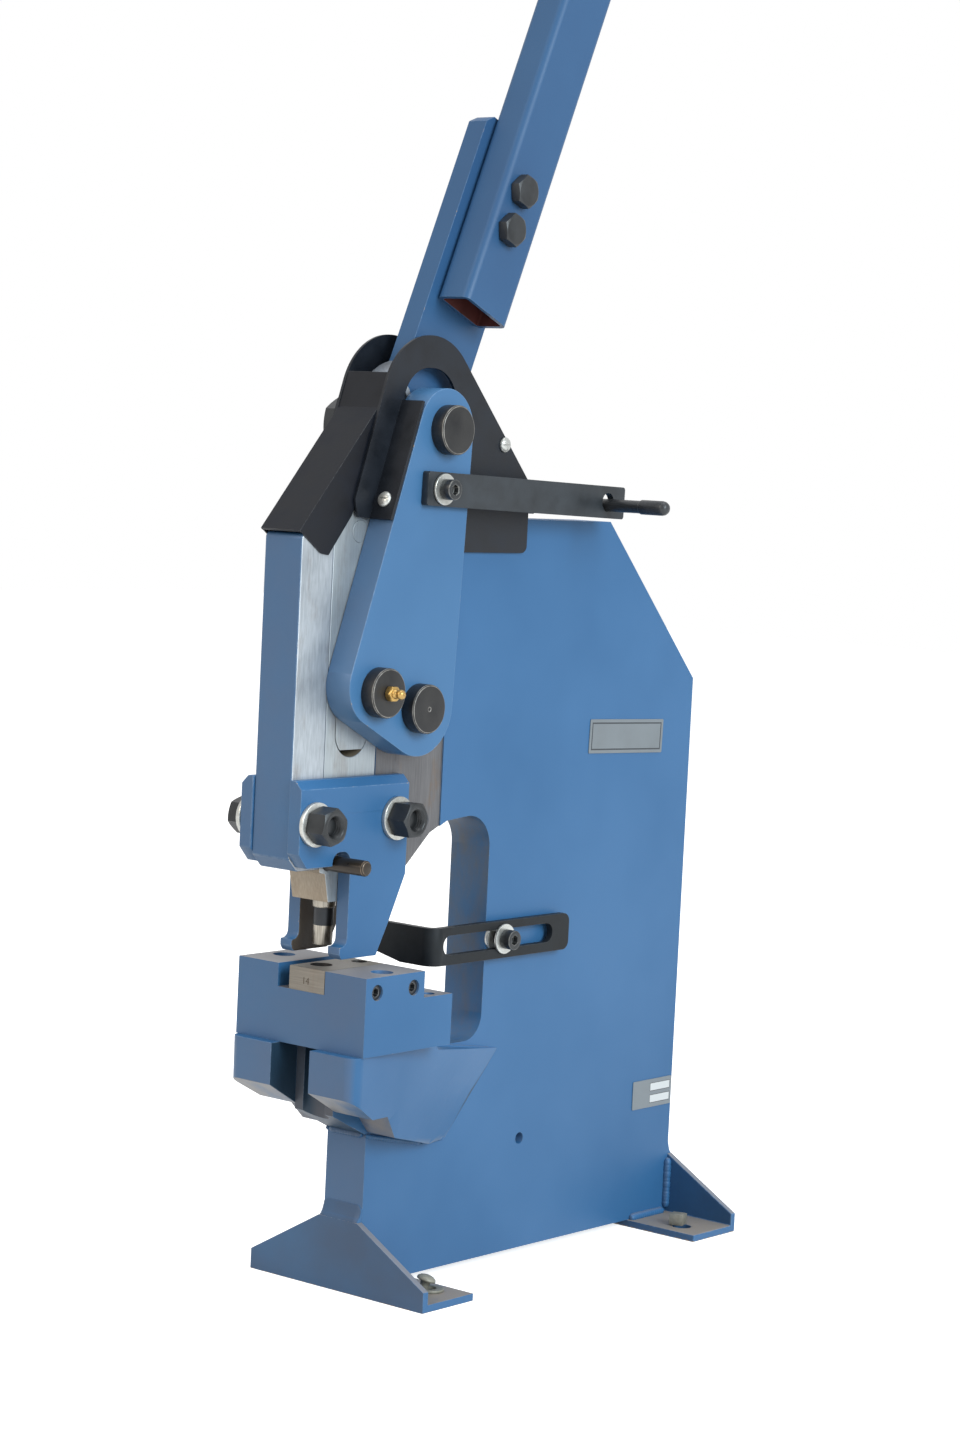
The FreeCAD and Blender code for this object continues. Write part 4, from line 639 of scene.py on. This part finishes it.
black_oxide = oxide("black_oxide")
for node in ("die_set_screws", "die_block_bolts"):
    dressed(node, (black_oxide,), 0.0004, "root", "black_steel")

# Die insert: ground tool steel in the block's slot, with its hole's size stamped on the front.
# The hole under the punch and the smaller one behind it are black inside: painted shade, with some oil.
die_steel = ground_metal("die_steel", linear(136, 131, 123), linear(105, 101, 94), (1, 30, 30), 0.42, 0.35,
                         stain=0.25)
bore_shade_black = oxide("bore_shade_black", linear(34, 32, 32), linear(60, 56, 52), 0.5, 0.1)
punch_line = -31.5
insert_holes = ((spot(0, punch_line, 0), 0.0072), (spot(5, -1, 0), 0.0052))


def insert_finish(centre, normal):
    in_hole = any((centre - middle).xy.length < reach for middle, reach in insert_holes)
    return 1 if in_hole and abs(normal.z) < edge_on else 0


dressed("die_insert", (die_steel, bore_shade_black), 0.0004, "root", "tool_steel", choose=insert_finish)
stamp_size = 0.0062
stamp_relief = 0.00006
stamp_place = spot(0.6, -49.72, 204.6)
stamp_shadow = oxide("stamp_shadow", linear(96, 86, 76), linear(96, 86, 76), 0.6, 0.2)
stamp_curve = bpy.data.curves.new("die_size", "FONT")
stamp_curve.body = "14"
stamp_curve.size = stamp_size
stamp_curve.extrude = stamp_relief
stamp_text = bpy.data.objects.new("die_size_text", stamp_curve)
bpy.context.scene.collection.objects.link(stamp_text)
stamp_data = bpy.data.meshes.new_from_object(stamp_text.evaluated_get(bpy.context.evaluated_depsgraph_get()))
bpy.data.objects.remove(stamp_text)
stamp = bmesh.new()
stamp.from_mesh(stamp_data)
upright = Matrix.Rotation(math.radians(90), 4, "X")
bmesh.ops.transform(stamp, matrix=Matrix.Translation(stamp_place) @ upright, verts=stamp.verts)
fitted("die_size_stamp", stamp, (stamp_shadow,), "root", "tool_steel")

# Guide bar, ram and holder: the painted bar, milled on its sides, closes the front of the ram's channel.
# The ram is a ground bar that slides behind it, greyed by oil, and the punch holder hangs from its lower end.
milled_steel = ground_metal("milled_steel", linear(186, 193, 200), linear(140, 148, 156), (18, 18, 2), 0.42,
                            0.6, stain=0.35)
ram_steel = ground_metal("ram_steel", linear(178, 186, 190), linear(146, 154, 160), (30, 30, 1), 0.4, 0.6,
                         stain=0.3)
dressed("front_guide_bar", (blue_enamel, milled_steel), 0.001, "root", "blue_paint",
        choose=lambda centre, normal: 1 if abs(normal.x) > side_on else 0)
# The inner walls of the ram's slot are tan.
slot_tan = ground_metal("slot_tan", linear(160, 148, 130), linear(128, 116, 100), (30, 30, 1), 0.45, 0.3)
ram_line = -30
ram_slot_half = 0.0152
ram_slot_heights = (0.34, 0.46)


def ram_finish(centre, normal):
    near_slot = abs(centre.y - spot(0, ram_line, 0).y) < ram_slot_half
    in_slot = near_slot and ram_slot_heights[0] < centre.z < ram_slot_heights[1]
    return 1 if in_slot and abs(normal.x) < 0.3 else 0


dressed("ram", (ram_steel, slot_tan), 0.0005, "ram", "ground_steel", choose=ram_finish)
dressed("ram_guide_block", (ram_steel,), 0.0002, "root", "ground_steel")
dressed("ram_pin", (ram_steel,), 0.0002, "ram", "ground_steel", sharp=40)
holder_steel = ground_metal("holder_steel", linear(168, 157, 141), linear(135, 124, 108), (30, 30, 1), 0.46,
                            0.35, stain=0.3)
dressed("punch_holder", (holder_steel, ram_steel), 0.0006, "ram", "tool_steel",
        choose=lambda centre, normal: 1 if normal.x > side_on else 0)

# Punch: a shouldered punch in the holder, blackened except for its bright collar and working end.
# The cross pin that locks it is oily black and stands out through the right stripper plate.
punch_bright = ground_metal("punch_bright", linear(196, 190, 178), linear(96, 92, 86), (40, 40, 1), 0.3, 0.8,
                            0.5)
punch_tip = 228
punch_step = 240.6
collar_low = 252
collar_high = 257.5
shank_top = 275.4
tip_radius = 6.3
stem_radius = 6.4
collar_radius = 7.4
shank_radius = 6
punch_outline = (
    (shank_top, 0), (shank_top, shank_radius), (collar_high, shank_radius), (collar_high, collar_radius),
    (collar_low + 1, collar_radius), (collar_low, collar_radius - 0.4), (collar_low, stem_radius),
    (punch_step, stem_radius), (punch_step - 0.6, tip_radius), (punch_tip + 0.5, tip_radius),
    (punch_tip, tip_radius - 0.4), (punch_tip, 0))
punch_mesh = bmesh.new()
turned(punch_mesh, punch_outline, 0, punch_line, 0, plumb, 40)
for face in punch_mesh.faces:
    height = face.calc_center_median().z * 1000
    face.material_index = 0 if punch_step < height < collar_low - 0.2 or height > collar_high else 1
soften(punch_mesh, 0.00015, 1, 40)
fitted("punch_finished", punch_mesh, (black_oxide, punch_bright), "ram", "black_steel", "punch")
oily_black = oxide("oily_black", linear(60, 54, 48), linear(128, 112, 96), 0.32, 0.5)
cross_pin_line = (-46.5, 282.7)
cross_pin_outline = ((-18, 0), (-18, 4.2), (-17.2, 5), (47, 5), (48, 4), (48, 0))
pin_mesh = bmesh.new()
turned(pin_mesh, cross_pin_outline, 0, *cross_pin_line, steps=36)
soften(pin_mesh, 0.0002, 1, 30)
fitted("punch_cross_pin_finished", pin_mesh, (oily_black,), "ram", "black_steel", "punch_cross_pin")

# Stripper plates: profiled plates bolted each side of the guide bar and frame, with M14 bolts and tall nuts.
# Their inner faces beside the punch are brown with oil and darkened as painted shade. The nuts and bolt heads
# have turned chamfers, and the bolts end inside the nuts.
oily_brown_shade = oxide("oily_brown_shade", linear(70, 62, 54), linear(90, 80, 70), 0.5, 0.1, 300, 0.2)
oily_shade_top = 0.284


def stripper_finish(centre, normal):
    inner = abs(centre.x) < recess_side + 0.0004 and abs(normal.x) > side_on
    return 1 if inner and centre.z < oily_shade_top else 0


for node in ("stripper_plate_right", "stripper_plate_left"):
    dressed(node, (blue_enamel, oily_brown_shade), 0.0009, "root", "blue_paint", choose=stripper_finish,
            split=oily_shade_top)


def thread(first, last, radius, depth=0.7, pitch=1.75):
    """Outline points of a screw thread between two places along an axis."""
    count = max(1, int(abs(last - first) / pitch))
    step = (last - first) / count
    points = []
    for index in range(count):
        points += [(first + index * step, radius), (first + (index + 0.5) * step, radius - depth)]
    return points + [(last, radius)]


def common_part(first, second):
    """What two closed meshes share, such as a hexagon bar and a turned blank."""
    blanks = []
    for mesh in (first, second):
        data = bpy.data.meshes.new("blank")
        mesh.to_mesh(data)
        mesh.free()
        blank = bpy.data.objects.new("blank", data)
        bpy.context.scene.collection.objects.link(blank)
        blanks.append(blank)
    overlap = blanks[0].modifiers.new("overlap", "BOOLEAN")
    overlap.object = blanks[1]
    overlap.operation = "INTERSECT"
    overlap.solver = "EXACT"
    bpy.context.view_layer.update()
    shape = bpy.data.meshes.new_from_object(blanks[0].evaluated_get(bpy.context.evaluated_depsgraph_get()))
    result = bmesh.new()
    result.from_mesh(shape)
    for blank in blanks:
        bpy.data.objects.remove(blank)
    bpy.data.meshes.remove(shape)
    return result


lead_in = 0.9


def hexagon(low, high, y, z, flats, bore=0.0, spin=0, chamfer=0.12):
    """A nut or bolt head along X: a hexagon bar cut by a turned blank, threaded through if it has a bore."""
    bar = bmesh.new()
    reach = flats / math.sqrt(3) / 1000
    bmesh.ops.create_cone(bar, cap_ends=True, segments=6, radius1=reach, radius2=reach,
                          depth=(high - low) / 1000)
    turn = Matrix.Rotation(math.radians(90), 4, "Y") @ Matrix.Rotation(math.radians(spin), 4, "Z")
    middle = Matrix.Translation(spot((low + high) / 2, y, z))
    bmesh.ops.transform(bar, matrix=middle @ turn, verts=bar.verts)
    blank = bmesh.new()
    wide = flats / math.sqrt(3) * 1.02
    rim = flats * 0.475
    slope = flats * chamfer / 2
    outside = [(low, rim), (low + slope, wide), (high - slope, wide), (high, rim)]
    if bore:
        inside = [(high, bore + lead_in), (high - lead_in, bore)] + thread(high - 1, low + 1, bore)[1:-1]
        inside += [(low + lead_in, bore), (low, bore + lead_in)]
        turned(blank, outside + inside, 0, y, z)
    else:
        turned(blank, [(low, 0)] + outside + [(high, 0)], 0, y, z)
    return common_part(bar, blank)


stripper_face = 25.5
washer_thick = 3
washer_face = stripper_face + washer_thick
bolt_line = 309.3
stripper_flats = 21
nut_high = 15
head_high = 10
end_high = 10
washer_outline = ((0, 7.5), (0, 13.7), (0.3, 14), (2.7, 14), (washer_thick, 13.7), (washer_thick, 7.5))
shank_outline = [(-washer_face - 0.1, 0), (-washer_face - 0.1, 6.6), (washer_face - 1, 6.6)]
shank_outline += thread(washer_face, washer_face + end_high - 1, 6.7)
shank_outline += [(washer_face + end_high, 5.6), (washer_face + end_high, 0)]
nut_mesh = bmesh.new()
bolt_mesh = bmesh.new()
washer_mesh = bmesh.new()
for y, spin in ((-72, 18), (4.5, 0)):
    nut = hexagon(washer_face, washer_face + nut_high, y, bolt_line, stripper_flats, 6.8, spin)
    add_mesh(nut_mesh, nut)
    head = hexagon(-washer_face - head_high, -washer_face, y, bolt_line, stripper_flats, 0, spin)
    add_mesh(bolt_mesh, head)
    shank = bmesh.new()
    turned(shank, shank_outline, 0, y, bolt_line)
    add_mesh(bolt_mesh, shank)
    for low in (stripper_face, -washer_face):
        ring = bmesh.new()
        turned(ring, washer_outline, low, y, bolt_line, steps=56)
        add_mesh(washer_mesh, ring)
nut_black = oxide("nut_black", linear(58, 61, 64), linear(122, 122, 120), 0.36, 0.45)
soften(nut_mesh, 0.00025, 1, 24)
soften(bolt_mesh, 0.00025, 1, 24)
fitted("stripper_nuts_finished", nut_mesh, (nut_black,), "root", "black_steel", "stripper_nuts")
fitted("stripper_bolts_finished", bolt_mesh, (nut_black,), "root", "black_steel", "stripper_bolts")
zinc_plate = ground_metal("zinc_plate", linear(206, 208, 206), linear(164, 166, 162), (8, 8, 8), 0.32, 0.7,
                          0.08, stain=0.25)
soften(washer_mesh, 0.0002, 1, 30)
fitted("stripper_washers_finished", washer_mesh, (zinc_plate,), "root", "zinc", "stripper_washers")

# Cheek plates: flame-cut plates that carry the lever pivot; they hang on two cross pins through the frame.
# Each pin has a turned round head on the right and a large nut on the left.
cheek_enamel = enamel("cheek_enamel", base=linear(68, 115, 160), deep=linear(61, 106, 150), front=0.2)
for node in ("cheek_plate_right", "cheek_plate_left"):
    dressed(node, (cheek_enamel,), 0.0012, "root", "blue_paint")
cheek_face = 35.5
head_face = cheek_face + 10
head_radius = 15.7
head_chamfer = 0.8
pin_radius = 12
pin_flats = 36
dimple_deep = 0.9
pivot_line = (25, 556)
front_pin_line = (-30, 391)
rear_pin_line = (9, 380)
turned_dark = linear(30, 31, 34)
turned_pale = linear(50, 50, 50)
rubbed_rim_highlight = linear(134, 132, 128)


def turning_marks(nodes, links, centre):
    """Fine grooves round an axis along X: by radius on the ends, by length on the barrel."""
    where = place_from(nodes, links, centre=centre)
    parts = nodes.new("ShaderNodeSeparateXYZ")
    links.new(where, parts.inputs[0])
    across = nodes.new("ShaderNodeCombineXYZ")
    links.new(parts.outputs["Y"], across.inputs["Y"])
    links.new(parts.outputs["Z"], across.inputs["Z"])
    radius = nodes.new("ShaderNodeVectorMath")
    radius.operation = "LENGTH"
    links.new(across.outputs[0], radius.inputs[0])
    joined = nodes.new("ShaderNodeCombineXYZ")
    links.new(parts.outputs["X"], joined.inputs["X"])
    links.new(radius.outputs["Value"], joined.inputs["Y"])
    return cloud(nodes, links, joined.outputs[0], 900, 3)


def turned_black(name, centre):
    """Blackened turned steel: fine grooves round its axis, and a rim lightened, rubbed bright and given a
    painted highlight.
    """
    made, nodes, links, shader = shader_tree(name)
    marks = turning_marks(nodes, links, centre)
    where = place_from(nodes, links)
    wide = cloud(nodes, links, where, 45, 4)
    tone = blended(nodes, links, between(nodes, links, wide, 0.3, 0.7), turned_dark, turned_pale)
    patch = between(nodes, links, cloud(nodes, links, where, 180, 4), 0.35, 0.6, 0.3, 1)
    rim = sums(nodes, links, "MULTIPLY", edge_wear_and_highlight(nodes, links), patch)
    links.new(blended(nodes, links, rim, tone, rubbed_rim_highlight), shader.inputs["Base Color"])
    shader.inputs["Metallic"].default_value = 0.45
    links.new(between(nodes, links, wide, 0.3, 0.7, 0.34, 0.5), shader.inputs["Roughness"])
    bumped(nodes, links, shader, marks, 0.3, 0.0002)
    return made


nut_group = bmesh.new()
for node, line, dimple, thick in (("lever_pivot_pin", pivot_line, 0, 19),
                                  ("front_cheek_pin", front_pin_line, 0, 13),
                                  ("rear_cheek_pin", rear_pin_line, 1.4, 13)):
    nut_face = -cheek_face - thick
    outline = [(nut_face - 2, 0), (nut_face - 2, 10.6)]
    outline += thread(nut_face - 1, -cheek_face - 1, 11.9, 0.9, 2.4)
    outline += [(-cheek_face + 1, pin_radius), (cheek_face, pin_radius), (cheek_face, head_radius),
                (head_face - head_chamfer, head_radius), (head_face, head_radius - head_chamfer)]
    outline += [(head_face, dimple), (head_face - dimple_deep, 0)] if dimple else [(head_face, 0)]
    pin = bmesh.new()
    turned(pin, outline, 0, *line, steps=72)
    soften(pin, 0.0003, 2, 30)
    pin_finish = turned_black(node + "_black", spot(0, *line))
    fitted(node + "_finished", pin, (pin_finish,), "root", "black_steel", node)
    add_mesh(nut_group, hexagon(nut_face, -cheek_face, *line, pin_flats, pin_radius, spin=30))
soften(nut_group, 0.0003, 1, 24)
fitted("pin_nuts_finished", nut_group, (nut_black,), "root", "black_steel", "pin_nuts")

# Grease nipple: turned brass, with a hexagon for the spanner and a ball end for the grease gun.
# It is screwed into the head of the front cheek pin.
brass = ground_metal("turned_brass", linear(206, 172, 104), linear(150, 118, 66), (1, 30, 30), 0.3, 0.8,
                     stain=0.4)
nipple_flats = 9
nipple_hexagon = 5
neck_outline = ((4, 0), (4, 3.2), (5.6, 3), (6.4, 2.3), (7.4, 2.2), (8.4, 2.9), (9.6, 3.3), (10.8, 2.9),
                (11.7, 1.8), (12, 0.8), (11.6, 0))
nipple_mesh = hexagon(head_face, head_face + nipple_hexagon, *front_pin_line, nipple_flats, chamfer=0.2)
neck = bmesh.new()
turned(neck, neck_outline, head_face, *front_pin_line, steps=32)
add_mesh(nipple_mesh, neck)
soften(nipple_mesh, 0.00015, 1, 34)
fitted("grease_nipple_finished", nipple_mesh, (brass,), "root", "brass", "grease_nipple")

# Lever: a flame-cut plate whose round hub turns on the pivot pin, and a square tube bolted to its side.
# The hub's rim is rubbed bright where it runs between the guards; the tube is red oxide inside.
lever_lean = math.radians(23.1)
lever_frame = Matrix.Translation(spot(0, *pivot_line)) @ Matrix.Rotation(-lever_lean, 4, "X")
lever_back = lever_frame.inverted()
tube_middle = Vector((0.0205, 0.0039, 0))
tube_bore_half = Vector((0.0104, 0.0199, 0))
hub_rim = (0.0365, 0.0455)
hub_top = 0.0385
lever_enamel = enamel("lever_enamel", chips=0.48, base=linear(47, 89, 131), deep=linear(41, 80, 121))
hub_steel = ground_metal("hub_steel", linear(150, 160, 172), linear(108, 120, 134), (30, 30, 30), 0.4, 0.6,
                         stain=0.2)
red_oxide = oxide("red_oxide", linear(92, 46, 44), linear(92, 46, 44), 0.6, 0.0)


def hub_finish(centre, normal):
    place = lever_back @ centre
    on_rim = hub_rim[0] < math.hypot(place.y, place.z) < hub_rim[1] and place.z < hub_top
    return 1 if on_rim and abs(normal.x) < edge_on else 0


def tube_finish(centre, normal):
    place = lever_back @ centre - tube_middle
    inside = abs(place.x) < tube_bore_half.x and abs(place.y) < tube_bore_half.y
    return 1 if inside and abs((lever_back.to_3x3() @ normal).z) < edge_on else 0


dressed("lever_plate", (lever_enamel, hub_steel), 0.001, "lever", "blue_paint", choose=hub_finish)
dressed("lever_tube", (lever_enamel, red_oxide), 0.0004, "lever", "blue_paint", choose=tube_finish)
moulded_black = oxide("moulded_plastic", linear(40, 41, 43), linear(54, 55, 57), 0.5, 0.0, 700)
dressed("tube_end_cap", (moulded_black,), 0.001, "lever", "black_plastic")

# Lever bolts: two M12 bolts through tube and plate, heads outside the tube and nuts behind the plate.
# They are blackened like the stripper bolts, and end 2 mm beyond their nuts.
lever_half = 7.5
tube_outer = 33.5
lever_flats = 19
lever_head_high = 7.5
lever_nut_high = 10
thread_radius = 5.8
shaft_end = -lever_half - lever_nut_high - 2
shaft_outline = [(shaft_end, 0), (shaft_end, 5)] + thread(shaft_end + 1, -lever_half - 1, thread_radius)
shaft_outline += [(tube_outer + 0.1, thread_radius), (tube_outer + 0.1, 0)]
head_mesh = bmesh.new()
lever_nut_mesh = bmesh.new()
for bolt_high in (0.14, 0.1675):
    head = hexagon(tube_outer, tube_outer + lever_head_high, 0, 0, lever_flats)
    shaft = bmesh.new()
    turned(shaft, shaft_outline, 0, 0, 0, steps=32)
    add_mesh(head, shaft)
    nut = hexagon(-lever_half - lever_nut_high, -lever_half, 0, 0, lever_flats, thread_radius + 0.1)
    for mesh in (head, nut):
        carried(mesh, lever_frame @ Matrix.Translation((0, -0.002, bolt_high)))
    add_mesh(head_mesh, head)
    add_mesh(lever_nut_mesh, nut)
soften(head_mesh, 0.00025, 1, 24)
soften(lever_nut_mesh, 0.00025, 1, 24)
fitted("lever_bolts_finished", head_mesh, (nut_black,), "lever", "black_steel", "lever_bolts")
fitted("lever_nuts_finished", lever_nut_mesh, (nut_black,), "lever", "black_steel", "lever_nuts")

# Drive links: two ground links from the crank pin in the lever's hub down to the pin in the ram's eye.
# The crank pin is blackened, and turns with the lever.
for node in ("drive_link_right", "drive_link_left"):
    dressed(node, (milled_steel,), 0.0005, "links", "ground_steel")
dressed("crank_pin", (black_oxide,), 0.0005, "lever", "black_steel", sharp=40)

# Guards: bent sheet steel, sprayed satin black; the side arches stand over the cheek plates.
# The front cover is a folded channel over the ram and crank.
arch_black = oxide("arch_black", linear(22, 28, 37), linear(70, 73, 77), 0.42, 0.0, 900, 0.16, 0.3)
for node in ("guard_side_right", "guard_side_left"):
    dressed(node, (arch_black,), 0.0004, "root", "black_sheet")
cover_black = oxide("cover_black", linear(8, 14, 25), linear(72, 75, 79), 0.4, 0.0, 900, 0.16, 0.26)
dressed("guard_front", (cover_black,), 0.0004, "root", "black_sheet")

# Guard screws: zinc-plated pan heads with a slot; two go through the arches into a round spacer, and two hold
# the front cover on the arches' lips.
slot_wide = 1.1
slot_floor = 1.9
below_slot = (slot_floor * 0.002, 0.02, 0.02)
beside_slot = (0.0011, 0.02, 0.006)
guard_face = 18.5
lip_back = 23.2
lip_tall = 67
lip_lean = math.atan(lip_back / lip_tall)
pan_outline = ((0, 0), (0, 4.7), (0.25, 5), (1.1, 4.9), (1.9, 4.3), (2.5, 3.2), (2.85, 1.8), (3, 0))


def pan_head():
    """A slotted pan head on X = 0, pointing along +X."""
    dome = bmesh.new()
    turned(dome, pan_outline, 0, 0, 0, steps=36)
    head = common_part(dome.copy(), block(spot(0, 0, 0), below_slot))
    for side in (1, -1):
        middle = spot(2.4, 0, side * (slot_wide / 2 + 3))
        add_mesh(head, common_part(dome.copy(), block(middle, beside_slot)))
    dome.free()
    return head


screw_mesh = bmesh.new()
for side in (1, -1):
    outward = Matrix.Rotation(math.radians(0 if side > 0 else 180), 4, "Z")
    forward = Matrix.Rotation(-lip_lean, 4, "X") @ Matrix.Rotation(math.radians(-90), 4, "Z")
    arch_place = spot(guard_face * side, 103.5, 548.5)
    lip_place = spot(27 * side, -21.72, 510.7)
    for place, turn in ((arch_place, outward), (lip_place, forward)):
        head = pan_head()
        carried(head, Matrix.Translation(place) @ turn)
        add_mesh(screw_mesh, head)
soften(screw_mesh, 0.0001, 1, 40)
fitted("guard_screws_finished", screw_mesh, (zinc_plate,), "root", "zinc", "guard_screws")
dressed("guard_spacer", (zinc_plate,), 0.0004, "root", "zinc", sharp=40)

# Lock bars: hot-rolled flat bars on the cheeks, blackened, with a loose pin through their free ends.
# The pin hangs above the frame's top edge and has a thicker, round-ended grip on the right.
rolled_black = oxide("rolled_black", linear(52, 58, 64), linear(88, 93, 98), 0.4, 0.22, 300, 0.2)
for node in ("lock_bar_right", "lock_bar_left"):
    dressed(node, (rolled_black,), 0.0005, "lock_bars", "black_sheet")
lock_line = (18, 518.5)
lock_droop = math.radians(1.6)
lock_frame = Matrix.Translation(spot(0, *lock_line)) @ Matrix.Rotation(-lock_droop, 4, "X")
eye_place = (0, 0.171, -0.00195)
pin_outline = ((-60, 0), (-60, 3.4), (-59, 4.25), (68.6, 4.25))
grip_outline = ((69.4, 4.9), (86.4, 4.9), (88.4, 4.5), (90, 3.4), (90.8, 1.8), (91, 0))
loose_pin = bmesh.new()
turned(loose_pin, pin_outline + grip_outline, 0, 0, 0, steps=32)
carried(loose_pin, lock_frame @ Matrix.Translation(eye_place))
soften(loose_pin, 0.0002, 1, 34)
pin_black = oxide("pin_black", linear(64, 67, 71), linear(120, 121, 120), 0.36, 0.4, 300, 0.2)
fitted("lock_pin_finished", loose_pin, (pin_black,), "lock_bars", "black_steel", "lock_pin")
dressed("lock_bar_screws", (nut_black,), 0.0006, "root", "black_steel", sharp=40)
dressed("lock_bar_washers", (zinc_plate,), 0.0003, "root", "zinc", sharp=40)

# Back gauge: a flat bar with a long slot, folded round behind the die and painted black.
# One screw clamps it through the slot, over a washer and a spacer.
gauge_black = oxide("gauge_black", linear(38, 42, 46), linear(78, 81, 84), 0.42, 0.1, 500, 0.16, 0.16)
dressed("back_gauge", (gauge_black,), 0.0006, "gauge", "black_sheet")
dressed("gauge_screw", (nut_black,), 0.0006, "root", "black_steel", sharp=40)
for node in ("gauge_washer", "gauge_spacer"):
    dressed(node, (zinc_plate,), 0.0003, "root", "zinc", sharp=40)

# Plates: aluminium plates glued on the frame's right side; one has a printed border and sits a little out of
# level, the other has two blank fields. Both are left without any text.
plate_face = 16.5
plate_sheet = 0.6
plate_corner = 0.001
plate_silver = linear(122, 131, 138)
plate_grey = tuple(0.88 * part for part in plate_silver[:3]) + (1,)
plate_ink = linear(50, 57, 64)
plate_white = linear(200, 206, 210)
border_margin = 2.2
border_line = 1.0
field_lows = (3, 11.5)
field_high = 6
field_near = 20
field_far = 2
field_line = 0.4


def box_depth(nodes, links, low, high, tilt):
    """How far a point of the side lies inside a tilted rectangle given in millimetres; negative outside."""
    turn = nodes.new("ShaderNodeVectorRotate")
    turn.rotation_type = "X_AXIS"
    turn.inputs["Angle"].default_value = tilt
    links.new(place_from(nodes, links, centre=(spot(0, *low) + spot(0, *high)) / 2), turn.inputs["Vector"])
    parts = nodes.new("ShaderNodeSeparateXYZ")
    links.new(turn.outputs[0], parts.inputs[0])
    depths = []
    for axis, half in (("Y", (high[0] - low[0]) / 2000), ("Z", (high[1] - low[1]) / 2000)):
        from_middle = sums(nodes, links, "ABSOLUTE", parts.outputs[axis], 0)
        depths.append(sums(nodes, links, "SUBTRACT", half, from_middle))
    return sums(nodes, links, "MINIMUM", *depths)


def printed_frame(nodes, links, under, low, high, tilt, margin, line, field=None):
    """A printed line that follows a rectangle at a margin, with its field filled if a colour is given."""
    depth = box_depth(nodes, links, low, high, tilt)
    inside = sums(nodes, links, "GREATER_THAN", depth, margin / 1000)
    within = sums(nodes, links, "GREATER_THAN", depth, (margin + line) / 1000)
    if field:
        under = blended(nodes, links, within, under, field)
    return blended(nodes, links, sums(nodes, links, "SUBTRACT", inside, within), under, plate_ink)


for node, low_y, low_z, wide, high, tilt in (("name_plate", 213, 340, 84, 23.5, math.radians(1.7)),
                                             ("rating_plate", 284.5, 84, 45.5, 20.3, 0)):
    made, nodes, links, shader = shader_tree(node + "_metal")
    where = place_from(nodes, links)
    tone = between(nodes, links, cloud(nodes, links, where, 60, 4), 0.3, 0.7)
    colour = blended(nodes, links, tone, plate_grey, plate_silver)
    if node == "name_plate":
        colour = printed_frame(nodes, links, colour, (low_y, low_z), (low_y + wide, low_z + high), tilt,
                               border_margin, border_line)
    else:
        for field_low in field_lows:
            low_corner = (low_y + field_near, low_z + field_low)
            high_corner = (low_y + wide - field_far, low_z + field_low + field_high)
            colour = printed_frame(nodes, links, colour, low_corner, high_corner, tilt, 0, field_line,
                                   plate_white)
    links.new(colour, shader.inputs["Base Color"])
    shader.inputs["Metallic"].default_value = 0.2
    links.new(between(nodes, links, tone, 0, 1, 0.36, 0.5), shader.inputs["Roughness"])
    bumped(nodes, links, shader, cloud(nodes, links, where, 900, 2), 0.06, 0.0002)
    middle = spot(plate_face + plate_sheet / 2, low_y + wide / 2, low_z + high / 2)
    plate = block(middle, Vector((plate_sheet, wide, high)) / 1000, Matrix.Rotation(-tilt, 4, "X"))
    corners = [edge for edge in plate.edges if abs(edge.verts[0].co.x - edge.verts[1].co.x) > 0.0001]
    bmesh.ops.bevel(plate, geom=corners, offset=plate_corner, segments=4, profile=0.5, affect="EDGES",
                    material=-1)
    soften(plate, 0.00012, 1, 40)
    fitted(node + "_finished", plate, (made,), "root", "label_metal", node)
